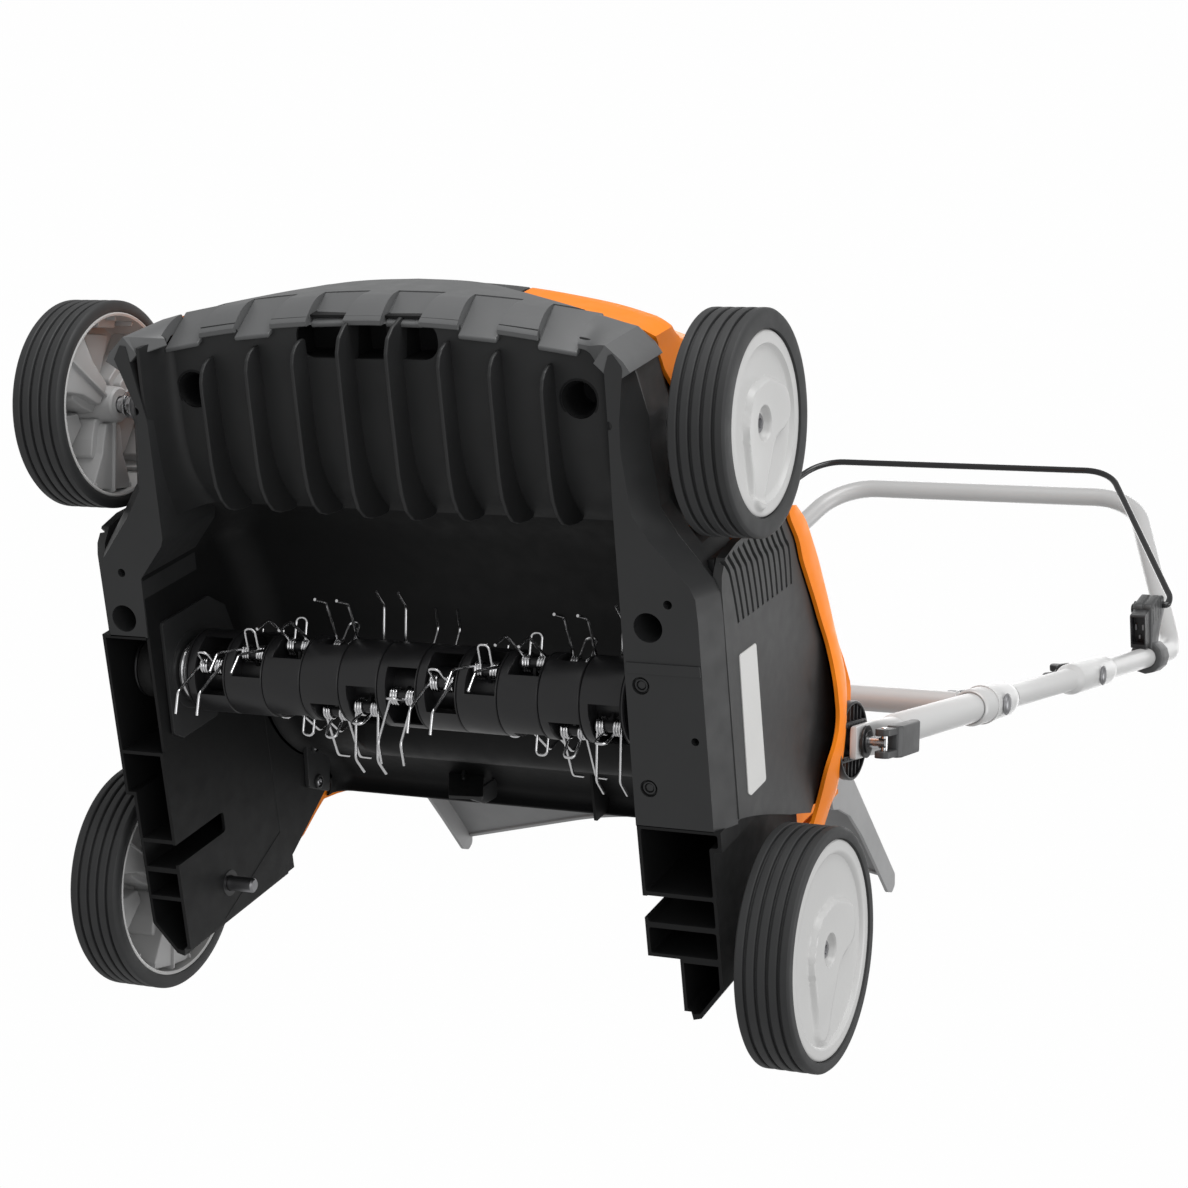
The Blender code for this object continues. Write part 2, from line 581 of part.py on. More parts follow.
# ------------------------------------------------------------- rear axle pins
for side, name in ((1, "rear_axle_right"), (-1, "rear_axle_left")):
    keep(name, lathe([(0.1760, 0), (0.1760, 0.0045), (0.1772, 0.0055), (0.2690, 0.0055), (0.2690, 0)],
                     (0, 0, REAR_R), (side, 0, 0), 16, closed=False), "steel", metal=1.0, rough=0.35)


# ---------------------------------------------------------------------- wheels
def wheel(tag, side, y, z, radius, xs, rim_in, rim_out):
    x0, x1 = xs
    n = 24
    tyre = lathe([(x0, rim_in), (x0, radius - 0.0040), (x0 + 0.0040, radius), (x1 - 0.0060, radius),
                  (x1, radius - 0.0055), (x1 - 0.0010, rim_out), (x1 - 0.0080, rim_in)],
                 (0, y, z), (side, 0, 0), n)
    keep("tyre_" + tag, tyre, "rubber", (0, y, z), rough=0.8)
    r = rim_in - GAP
    hub = lathe([(x1 - 0.0150, 0), (x1 - 0.0150, 0.0058), (x0 - 0.0010, 0.0058), (x0 - 0.0010, 0.0140),
                 (x1 - 0.0100, r - 0.0035), (x0 + 0.0008, r - 0.0025), (x0 + 0.0008, r),
                 (x1 - 0.0084, r), (x1 - 0.0014, rim_out - GAP), (x1 - 0.0002, rim_out - 0.0110),
                 (x1 - 0.0002, 0.0180), (x1 - 0.0025, 0.0130), (x1 - 0.0025, 0)],
                (0, y, z), (side, 0, 0), n, closed=False)
    keep("hub_" + tag, hub, "hub", (0, y, z), rough=0.4)


wheel("rear_right", 1, REAR_Y, REAR_R, REAR_R, REAR_X, 0.0730, 0.0762)
wheel("rear_left", -1, REAR_Y, REAR_R, REAR_R, REAR_X, 0.0730, 0.0762)
wheel("front_right", 1, FRONT_Y, FRONT_R, FRONT_R, FRONT_X, 0.0585, 0.0606)
wheel("front_left", -1, FRONT_Y, FRONT_R, FRONT_R, FRONT_X, 0.0585, 0.0606)

# ---------------------------------------------------- cranked front axle, lever
arm = []
for s in (1, -1):
    arm += [rod((s * 0.2010, PIVOT_Y, PIVOT_Z), (s * 0.2120, PIVOT_Y, PIVOT_Z), 0.0120, 12),
            rod((s * 0.2010, FRONT_Y, FRONT_R), (s * 0.2125, FRONT_Y, FRONT_R), 0.0110, 12),
            prism([(PIVOT_Y - 0.0030, PIVOT_Z + 0.0110), (FRONT_Y - 0.0030, FRONT_R + 0.0100),
                   (FRONT_Y + 0.0030, FRONT_R - 0.0100), (PIVOT_Y + 0.0030, PIVOT_Z - 0.0110)], "X",
                  *sorted((s * 0.2020, s * 0.2110))),
            rod((s * 0.2050, FRONT_Y, FRONT_R), (s * 0.2500, FRONT_Y, FRONT_R), 0.0054, 16)]
lever = prism([(PIVOT_Y - 0.0080, PIVOT_Z - 0.0040), (PIVOT_Y + 0.0080, PIVOT_Z + 0.0040), (-0.3290, 0.1750),
               (-0.3330, 0.2350), (-0.3420, 0.2350), (-0.3390, 0.1700)], "X", -0.1525, -0.1475)
keep("front_axle", union([rod((-0.2060, PIVOT_Y, PIVOT_Z), (0.2060, PIVOT_Y, PIVOT_Z), 0.0060, 16)] + arm + [lever]),
     "steel", (0, PIVOT_Y, PIVOT_Z), metal=1.0, rough=0.4)
grip = prism([(-0.3310, 0.2360), (-0.3320, 0.2560), (-0.3360, 0.2620), (-0.3410, 0.2620), (-0.3440, 0.2560),
              (-0.3430, 0.2360)], "X", -0.1570, -0.1430)
keep("depth_lever_grip", grip, "soot", (0, PIVOT_Y, PIVOT_Z), rough=0.5)

# ----------------------------------------------------------------------- rotor
axis = Vector((0, ROTOR_Y, ROTOR_Z))
left_end, right_end = FIRST_X - PITCH * 0.62, FIRST_X + PITCH * (SEGMENTS - 0.34)


def around(angle, r, t, x):
    """Point at radius r along a window's direction and t across it, in turning sense, at x."""
    a = math.radians(angle)
    return axis + Vector((x, r * math.cos(a) - t * math.sin(a), r * math.sin(a) + t * math.cos(a)))


def window_angle(k):
    """Direction of a window in the YZ plane, degrees from +Y towards +Z."""
    return -109.9 - (WINDOW_MID + WINDOW_STEP * (k - 6))


drum = lathe([(left_end, 0.0083), (left_end, DRUM_R), (right_end, DRUM_R), (right_end, 0.0083),
              (right_end - 0.0030, 0.0083), (right_end - 0.0030, DRUM_R - DRUM_WALL),
              (left_end + 0.0030, DRUM_R - DRUM_WALL), (left_end + 0.0030, 0.0083)], axis, (1, 0, 0), 18)
windows = []
for k in range(SEGMENTS):
    x = FIRST_X + PITCH * k
    corners = [around(window_angle(k), r, t, 0) for r, t in ((-0.04, -0.0215), (0.04, -0.0215), (0.04, 0.0215),
                                                              (-0.04, 0.0215))]
    windows.append(prism([(c.y, c.z) for c in corners], "X", x - 0.0105, x + 0.0130))
boolean(drum, joined(windows), "DIFFERENCE")
keep("rotor_drum", drum, "charcoal", (0, ROTOR_Y, ROTOR_Z), rough=0.4)

wires = [lathe([(-0.2312, 0), (-0.2312, 0.0080), (0.1712, 0.0080), (0.1712, 0)], axis, (1, 0, 0), 12, closed=False)]
for k in range(SEGMENTS):
    x = FIRST_X + PITCH * k + 0.0012
    for half in (0, 180):
        a = window_angle(k) + half
        c = around(a, 0.0225, 0, 0)
        # coils around their pin, pin carried by a web on the shaft
        wires.append(lathe([(-0.0094, 0), (-0.0094, 0.0062), (0.0094, 0.0062), (0.0094, 0)],
                           (x, c.y, c.z), (1, 0, 0), 6, closed=False))
        arm_c = [around(a, r, t, 0) for r, t in ((0.004, -0.0022), (0.0190, -0.0018), (0.0190, 0.0018),
                                                 (0.004, 0.0022))]
        wires.append(prism([(p.y, p.z) for p in arm_c], "X", x - 0.0016, x + 0.0014))
        for s in (-1, 1):
            xc = x + s * 0.0082
            wires.append(tube([around(a, 0.0262, -0.0055, xc), around(a, 0.0508, 0.0241, xc),
                               around(a, 0.0494, 0.0400, xc)], 0.0014, 3))
        wires.append(tube([around(a, 0.0250, 0.0015, x - 0.0050), around(a, 0.0425, -0.0060, x),
                           around(a, 0.0250, 0.0015, x + 0.0050)], 0.0014, 3))
core = wires[0]
for i in range(1, len(wires), 5):
    boolean(core, joined(wires[i:i + 5]), "UNION", True)
keep("rotor_core", core, "steel", (0, ROTOR_Y, ROTOR_Z), metal=1.0, rough=0.25)

keep("rotor_pulley", lathe([(-0.2290, 0.0083), (-0.2290, 0.0230), (-0.2275, 0.0230), (-0.2270, PULLEY_ROTOR_R),
                            (-0.2140, PULLEY_ROTOR_R), (-0.2135, 0.0230), (-0.2120, 0.0230), (-0.2120, 0.0083)],
                           axis, (1, 0, 0), 16), "soot", (0, ROTOR_Y, ROTOR_Z), rough=0.5)
keep("rotor_bearing_ring", lathe([(-0.1915, 0.0083), (-0.1915, 0.0220), (-0.1830, 0.0235), (-0.1830, 0.0083)],
                                 axis, (1, 0, 0), 16), "steel", (0, ROTOR_Y, ROTOR_Z), metal=1.0, rough=0.2)

bearing_plate = prism([(-0.2235, 0.0380), (-0.1400, 0.0340), (-0.1330, 0.0450), (-0.1330, 0.0900), (-0.1480, 0.1180),
                       (-0.1800, 0.1300), (-0.2100, 0.1200), (-0.2235, 0.1000)], "X", -0.1955, -0.1925)
cut(bearing_plate, [rod((-0.21, ROTOR_Y, ROTOR_Z), (-0.18, ROTOR_Y, ROTOR_Z), 0.0084, 16)])
keep("bearing_plate", bearing_plate, "charcoal", rough=0.45)

# ------------------------------------------------------------- motor and drive
m_axis = Vector((0, MOTOR_Y, MOTOR_Z))
keep("motor_can", lathe([(-0.1300, 0.0063), (-0.1300, MOTOR_R), (0.0900, MOTOR_R), (0.0900, 0.0063),
                         (0.0850, 0.0063), (0.0850, MOTOR_R - 0.0040), (-0.1250, MOTOR_R - 0.0040),
                         (-0.1250, 0.0063)], m_axis, (1, 0, 0), 16), "steel", metal=1.0, rough=0.4)
armature = lathe([(-0.2290, 0), (-0.2290, 0.0060), (-0.0900, 0.0060), (-0.0900, 0.0300), (0.0400, 0.0300),
                  (0.0400, 0.0160), (0.0700, 0.0160), (0.0700, 0.0060), (0.1250, 0.0060), (0.1250, 0)],
                 m_axis, (1, 0, 0), 12, closed=False)
keep("motor_armature", armature, "copper", (0, MOTOR_Y, MOTOR_Z), metal=1.0, rough=0.4)
star = []
for k in range(14):
    rr = 0.0360 if k % 2 else 0.0150
    star.append((MOTOR_Y + rr * math.cos(k * math.pi / 7), MOTOR_Z + rr * math.sin(k * math.pi / 7)))
fan = prism(star, "X", 0.1010, 0.1130)
cut(fan, [rod((0.09, MOTOR_Y, MOTOR_Z), (0.13, MOTOR_Y, MOTOR_Z), 0.0063, 16)])
keep("motor_fan", fan, "soot", (0, MOTOR_Y, MOTOR_Z), rough=0.5)
keep("motor_pulley", lathe([(-0.2290, 0.0063), (-0.2290, 0.0125), (-0.2275, 0.0125), (-0.2270, PULLEY_MOTOR_R),
                            (-0.2140, PULLEY_MOTOR_R), (-0.2135, 0.0125), (-0.2120, 0.0125), (-0.2120, 0.0063)],
                           m_axis, (1, 0, 0), 12), "soot", (0, MOTOR_Y, MOTOR_Z), rough=0.5)


def belt_loop(grow, n=12):
    d = Vector((MOTOR_Y - ROTOR_Y, MOTOR_Z - ROTOR_Z))
    r1, r2 = PULLEY_ROTOR_R + grow, PULLEY_MOTOR_R + grow
    base = math.atan2(d.y, d.x)
    off = math.acos((r1 - r2) / d.length)
    pts = []
    for k in range(n + 1):
        a = base + off + (2 * math.pi - 2 * off) * k / n
        pts.append((ROTOR_Y + r1 / math.cos(math.pi / 36) * math.cos(a), ROTOR_Z + r1 / math.cos(math.pi / 36) * math.sin(a)))
    for k in range(n + 1):
        a = base - off + 2 * off * k / n
        pts.append((MOTOR_Y + r2 / math.cos(math.pi / 36) * math.cos(a), MOTOR_Z + r2 / math.cos(math.pi / 36) * math.sin(a)))
    return pts


outer_b, inner_b = belt_loop(0.0030), belt_loop(0.0006)
nb = len(outer_b)
bverts = [(x, y, z) for x in (-0.2262, -0.2148) for y, z in outer_b + inner_b]
bfaces = []
for i in range(nb):
    j = (i + 1) % nb
    bfaces += [(i, j, nb + j, nb + i), (2 * nb + i, 2 * nb + j, 3 * nb + j, 3 * nb + i),
               (i, j, 2 * nb + j, 2 * nb + i), (nb + i, nb + j, 3 * nb + j, 3 * nb + i)]
keep("drive_belt", obj(raw(bverts, bfaces)), "rubber", rough=0.7)

# -------------------------------------------------------------------- rear flap
FLAP_ANGLE = math.radians(35.0)
fu = Vector((0, math.cos(FLAP_ANGLE), math.sin(FLAP_ANGLE)))
fn = Vector((0, math.sin(FLAP_ANGLE), -math.cos(FLAP_ANGLE)))     # towards the cheeks
hinge = Vector((0, FLAP_Y, FLAP_Z))


def on_flap(x, s, h):
    return hinge + Vector((x, 0, 0)) + fu * s + fn * h


LENGTH = 0.2130
edge = []
for k in range(9):
    x = 0.1950 * (k / 4 - 1)
    edge.append((x, LENGTH - 0.0100 - 0.1000 * (1 - (x / 0.1950) ** 2)))
outline = [(-0.1950, 0.0)] + edge + [(0.1950, 0.0)]
pverts = [on_flap(x, s, h) for h in (0.0, 0.0030) for x, s in outline]
np_ = len(outline)
pfaces = [tuple(range(np_)), tuple(range(np_, 2 * np_))]
pfaces += [(i, (i + 1) % np_, np_ + (i + 1) % np_, np_ + i) for i in range(np_)]
flap_parts = [obj(raw(pverts, pfaces))]
cheek = [(0.030, -0.0015), (LENGTH - 0.006, -0.0015), (LENGTH + 0.003, 0.006), (LENGTH + 0.001, 0.014),
         (LENGTH - 0.008, 0.0190), (0.110, 0.0200), (0.075, 0.0240), (0.050, 0.0340), (0.038, 0.0420), (0.026, 0.0360)]
for s in (1, -1):
    pts = [on_flap(0, a, h) for a, h in cheek]
    flap_parts.append(prism([(p.y, p.z) for p in pts], "X", *sorted((s * CHEEK[0], s * CHEEK[1]))))
flap_parts.append(rod((-0.1900, FLAP_Y, FLAP_Z), (0.1900, FLAP_Y, FLAP_Z), 0.0048, 12))
keep("rear_flap", union(flap_parts), "flap", (0, FLAP_Y, FLAP_Z), rough=0.5)


# ------------------------------------------------------------ handle, both sides
def ellipse(y, z, ry, rz, n=16):
    return [(y + ry * math.cos(2 * math.pi * k / n), z + rz * math.sin(2 * math.pi * k / n)) for k in range(n)]


bow_parts, bow_bores = [], []
pivot = (0, TILT_Y, TILT_Z)
for side, tag in ((1, "right"), (-1, "left")):
    X = side * LEG_X
    rosette = prism(ellipse(TILT_Y, TILT_Z, 0.0285, 0.0290), "X", *sorted((side * 0.2415, side * 0.2570)))
    ridges = []
    for k in range(3):
        z = TILT_Z + 0.0110 + 0.0060 * k
        w = 0.0270 * math.sqrt(max(0.0, 1 - ((z - TILT_Z) / 0.0290) ** 2)) - 0.002
        ridges.append(box(*sorted((side * 0.2560, side * 0.2582)), TILT_Y - w, TILT_Y + w, z, z + 0.0018))
        z2 = TILT_Z - (z - TILT_Z) - 0.0018
        ridges.append(box(*sorted((side * 0.2560, side * 0.2582)), TILT_Y - w, TILT_Y + w, z2, z2 + 0.0018))
    rosette = boolean(rosette, joined(ridges), "UNION")
    cut(rosette, [rod((side * 0.22, TILT_Y, TILT_Z), (side * 0.27, TILT_Y, TILT_Z), 0.0044, 16)])
    keep("rosette_" + tag, rosette, "soot", rough=0.5)

    p0, p1 = leg(0.2560, X), leg(0.5300, X)
    tube_leg = lathe([(0, 0), (0, LEG_R), ((p1 - p0).length, LEG_R), ((p1 - p0).length, LEG_R - WALL),
                      (0.006, LEG_R - WALL), (0.006, 0)], p0, LEG_U, 12, closed=False)
    c = Vector((0, TILT_Y, TILT_Z))
    flat = []
    for a, b in ((-0.0130, -0.0070), (-0.0130, 0.0070), (-0.0080, 0.0125), (0.0380, 0.0115), (0.0380, -0.0115),
                 (-0.0080, -0.0125)):
        q = c + LEG_U * a + LEG_N * b
        flat.append((q.y, q.z))
    flat_end = prism(flat, "X", *sorted((side * 0.2588, side * 0.2640)))
    tube_leg = union([tube_leg, flat_end])
    cut(tube_leg, [rod((side * 0.25, TILT_Y, TILT_Z), (side * 0.28, TILT_Y, TILT_Z), 0.0043, 16)])
    b1 = leg(0.5186, X)
    cut(tube_leg, [rod((X - 0.03, b1.y, b1.z), (X + 0.03, b1.y, b1.z), 0.0036, 8)])
    keep("lower_leg_" + tag, tube_leg, "silver", pivot, metal=0.6, rough=0.35)

    s0, s1 = leg(0.4700, X), leg(0.5640, X)
    length = (s1 - s0).length
    bow_parts.append(lathe([(0, LEG_R + GAP), (0, 0.0150), (length - 0.014, 0.0150), (length, 0.0125),
                            (length, TUBE_R + GAP), (0.0680, TUBE_R + GAP), (0.0650, LEG_R + GAP)],
                           s0, LEG_U, 12))
    bow_bores.append(rod(leg(0.4600, X), leg(0.5280, X), LEG_R + GAP, 12))
    bow_bores.append(rod((X - 0.03, b1.y, b1.z), (X + 0.03, b1.y, b1.z), 0.0036, 8))
    keep("bolt_low_" + tag, lathe([(-0.0205, 0), (-0.0205, 0.0032), (0.0156, 0.0032), (0.0156, 0.0075),
                                   (0.0186, 0.0065), (0.0186, 0)], (X, b1.y, b1.z), (side, 0, 0), 8, closed=False),
         "silver", pivot, metal=1.0, rough=0.3)

    # middle tube with its widened upper end
    q0, q1 = leg(0.5360, X), leg(0.8760, X)
    L = (q1 - q0).length
    Lw = (leg(0.7500, X) - q0).length
    mid = lathe([(0, TUBE_R), (Lw, TUBE_R), (Lw + 0.010, 0.0140), (L - 0.012, 0.0140), (L, 0.0120),
                 (L, BORE), (Lw + 0.022, BORE), (Lw + 0.018, TUBE_R - WALL), (0, TUBE_R - WALL)],
                q0, LEG_U, 12)
    b2 = leg(0.8170, X)
    cut(mid, [rod((X - 0.03, b2.y, b2.z), (X + 0.03, b2.y, b2.z), 0.0036, 8)])
    keep("mid_tube_" + tag, mid, "silver", pivot, metal=0.6, rough=0.35)
    keep("bolt_high_" + tag, lathe([(-0.0195, 0), (-0.0195, 0.0032), (0.0146, 0.0032), (0.0146, 0.0075),
                                    (0.0176, 0.0065), (0.0176, 0)], (X, b2.y, b2.z), (side, 0, 0), 8, closed=False),
         "silver", pivot, metal=1.0, rough=0.3)
    # wing knobs on the inner side of both bolts
    for height, b in (("low", b1), ("high", b2)):
        inner = 0.0160 if height == "low" else 0.0150
        bore = 0.0036
        knob = lathe([(-inner - 0.0005, bore), (-inner - 0.0005, 0.0090), (-inner - 0.0120, 0.0080),
                      (-inner - 0.0120, 0), (-inner - 0.0060, 0), (-inner - 0.0060, bore)],
                     (X, b.y, b.z), (side, 0, 0), 8)
        wings = box(*sorted((X - side * (inner + 0.0070), X - side * (inner + 0.0235))), b.y - 0.0030, b.y + 0.0030,
                    b.z - 0.0165, b.z + 0.0165)
        keep("wing_knob_%s_%s" % (height, tag), union([knob, wings]), "soot", (X, b.y, b.z), rough=0.5)

    # quick release: bolt with a crossbar, and a forked lever
    bolt = rod((side * 0.2430, TILT_Y, TILT_Z), (side * 0.2815, TILT_Y, TILT_Z), 0.0040, 12)
    cross_c = Vector((side * 0.2795, TILT_Y, TILT_Z))
    bolt = union([bolt, rod(cross_c - LEG_N * 0.0110, cross_c + LEG_N * 0.0110, 0.0025, 12)])
    keep("quick_bolt_" + tag, bolt, "steel", pivot, metal=1.0, rough=0.3)
    pieces = []
    for s in (1, -1):
        pts = []
        lo = cross_c + LEG_N * (s * 0.0055)
        hi = cross_c + LEG_N * (s * 0.0105)
        verts = []
        prof = [(-0.0090, -0.0050), (0.0140, -0.0035), (0.0140, 0.0065), (-0.0060, 0.0060), (-0.0090, 0.0030)]
        for base in (lo, hi):
            for a, cc in prof:
                verts.append(base + LEG_U * a + Vector((side * cc, 0, 0)))
        n = len(prof)
        faces = [tuple(range(n)), tuple(range(n, 2 * n))] + [(i, (i + 1) % n, n + (i + 1) % n, n + i) for i in range(n)]
        pieces.append(obj(raw(verts, faces)))
    verts = []
    prof = [(0.0100, -0.0030), (0.0620, -0.0015), (0.0640, 0.0040), (0.0560, 0.0075), (0.0150, 0.0085),
            (0.0100, 0.0060)]
    for s in (-1, 1):
        for a, cc in prof:
            verts.append(cross_c + LEG_N * (s * 0.0115) + LEG_U * a + Vector((side * (cc + 0.0005), 0, 0)))
    n = len(prof)
    faces = [tuple(range(n)), tuple(range(n, 2 * n))] + [(i, (i + 1) % n, n + (i + 1) % n, n + i) for i in range(n)]
    pieces.append(obj(raw(verts, faces)))
    quick = union(pieces)
    cut(quick, [rod(cross_c - LEG_N * 0.0300, cross_c + LEG_N * 0.0300, 0.0028, 12)])
    keep("quick_lever_" + tag, quick, "soot", cross_c, rough=0.45)

cross_z = 0.4870
cy = leg(cross_z).y
bow_parts.append(tube([(-LEG_X + 0.0135, cy, cross_z), (LEG_X - 0.0135, cy, cross_z)], 0.0105, 12, inner=0.0093))
bow = union(bow_parts)
cut(bow, bow_bores)
cut(bow, [rod((0.0, cy, cross_z - 0.02), (0.0, cy, cross_z), 0.0020, 8)])
keep("cross_bow", bow, "silver", pivot, metal=0.6, rough=0.35)

corner = Vector((0.1704, 0.0681, 1.3652))
loop = []
for s in (-1, 1):
    half = [leg(0.7860, s * LEG_X), leg(1.1400, s * LEG_X), Vector((s * corner.x, corner.y, corner.z))]
    loop.append(half)
path = loop[0] + list(reversed(loop[1]))
path = rounded(path, 0.0600, 3)
loop_tube = tube(path, TUBE_R, 10, inner=TUBE_R - WALL)
for s in (-1, 1):
    h = leg(0.8170, s * LEG_X)
    cut(loop_tube, [rod((h.x - 0.03, h.y, h.z), (h.x + 0.03, h.y, h.z), 0.0036, 8)])
keep("upper_loop", loop_tube, "silver", pivot, metal=0.6, rough=0.35)

# switch box with its clamp on the right, bearing block for the bail on the left
for side, tag in ((1, "right"), (-1, "left")):
    cA, cB = leg(1.0300, side * LEG_X), leg(1.0620, side * LEG_X)
    clamp = ring(cA, cB, BORE, 0.0165, 12)
    if side > 0:
        body = prism([(0.0740, 1.0350), (0.1225, 1.0300), (0.1240, 1.0570), (0.1120, 1.0640), (0.0960, 1.0870),
                      (0.0810, 1.0860), (0.0740, 1.0660)], "X", 0.2510, 0.2695)
    else:
        body = prism([(0.0950, 1.0560), (0.1225, 1.0380), (0.1240, 1.0570), (0.1060, 1.0700), (0.0960, 1.0870),
                      (0.0810, 1.0860), (0.0780, 1.0700)], "X", -0.2695, -0.2560)
    bore = rod(leg(0.99, side * LEG_X), leg(1.10, side * LEG_X), BORE, 12)
    block = cut(union([clamp, body]), [bore, rod((side * 0.2590, BAIL_Y, BAIL_Z), (side * 0.30, BAIL_Y, BAIL_Z),
                                                 0.0034, 12)])
    if side > 0:
        cut(block, [rod((0.2460, 0.0823, 1.0450), (0.2590, 0.0823, 1.0450), 0.0058, 16)])
    keep("switch_box" if side > 0 else "bail_bracket", block, "soot", pivot, rough=0.5)
keep("safety_button", rod((0.2470, 0.0823, 1.0450), (0.2570, 0.0823, 1.0450), 0.0055, 16), "soot",
     (0.2470, 0.0823, 1.0450), rough=0.5)
inlet = prism([(0.0780, 1.0130), (0.1120, 1.0130), (0.1150, 1.0296), (0.0780, 1.0345)], "X", 0.2530, 0.2680)
cut(inlet, [box(0.2545, 0.2665, 0.0800, 0.1080, 1.0000, 1.0240)])
keep("mains_inlet", inlet, "soot", pivot, rough=0.5)

bail_half = [(0.2600, BAIL_Y, BAIL_Z), (0.2745, BAIL_Y, BAIL_Z), (0.2745, BAIL_Y - 0.0040, BAIL_Z + 0.0120),
             (0.1635, 0.0155, 1.2910)]
pts = [Vector((-x, y, z)) for x, y, z in bail_half] + [Vector(p) for p in reversed(bail_half)]
head, tail = pts[:2], pts[-2:]
middle = rounded(pts[2:-2], 0.0450, 4)
keep("bail", tube(head + middle + tail, 0.0032, 8), "soot", (0, BAIL_Y, BAIL_Z), metal=0.3, rough=0.35)
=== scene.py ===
"""Looks of the electric lawn scarifier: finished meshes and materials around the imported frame."""

import math

import bmesh
import bpy
from mathutils import Matrix, Vector

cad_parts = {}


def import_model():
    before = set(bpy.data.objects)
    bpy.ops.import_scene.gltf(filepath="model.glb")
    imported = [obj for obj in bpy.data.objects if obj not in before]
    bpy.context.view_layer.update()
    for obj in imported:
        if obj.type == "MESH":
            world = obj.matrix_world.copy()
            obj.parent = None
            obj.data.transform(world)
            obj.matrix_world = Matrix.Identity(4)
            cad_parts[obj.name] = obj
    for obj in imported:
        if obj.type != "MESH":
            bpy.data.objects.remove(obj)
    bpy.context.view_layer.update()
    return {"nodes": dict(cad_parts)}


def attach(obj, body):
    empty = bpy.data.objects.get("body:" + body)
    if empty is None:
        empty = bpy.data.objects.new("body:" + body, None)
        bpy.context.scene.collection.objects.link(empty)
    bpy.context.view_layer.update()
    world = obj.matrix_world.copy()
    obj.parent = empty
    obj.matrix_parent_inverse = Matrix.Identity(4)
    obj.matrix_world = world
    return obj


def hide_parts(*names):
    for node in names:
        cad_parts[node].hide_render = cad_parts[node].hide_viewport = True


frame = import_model()


# ------------------------------------------------------------------ dimensions
YC = 0.1461
REAR_R, FRONT_R = 0.0845, 0.0741
REAR_Y, FRONT_Y = 0.0, -0.3740
PIVOT_Y, PIVOT_Z = -0.3176, 0.0933
ROTOR_Y, ROTOR_Z = -0.1780, 0.0690
SEGMENTS, PITCH, FIRST_X = 11, 0.0310, -0.1620
MOTOR_Y, MOTOR_Z = -0.1250, 0.2400
LEG_X, LEG_SLOPE = 0.2630, 0.2810
TILT_Y, TILT_Z = -0.0980, 0.2220
FLAP_Y, FLAP_Z = -0.0500, 0.3400
BAIL_Y, BAIL_Z = 0.0880, 1.0780
LEG_U = Vector((0.0, LEG_SLOPE, 1.0)).normalized()
LEG_N = Vector((0.0, LEG_U.z, -LEG_U.y))


def leg(z, x=LEG_X):
    return Vector((x, -0.0633 + (z - 0.3515) * LEG_SLOPE, z))


# --------------------------------------------------------------------- camera
right = Vector((0.9072, 0.0872, 0.4115)).normalized()
down = Vector((0.0527, 0.9470, -0.3168))
down = (down - right * down.dot(right)).normalized()
ahead = right.cross(down)
cam_data = bpy.data.cameras.new("camera")
cam = bpy.data.objects.new("camera", cam_data)
bpy.context.scene.collection.objects.link(cam)
cam_data.sensor_width = 36.0
cam_data.lens = 84.854
cam_data.clip_start, cam_data.clip_end = 0.05, 60.0
cam.matrix_world = Matrix(((right.x, -down.x, -ahead.x, 0.9193), (right.y, -down.y, -ahead.y, -0.8337 + YC),
                           (right.z, -down.z, -ahead.z, -1.5356), (0, 0, 0, 1)))
bpy.context.scene.camera = cam


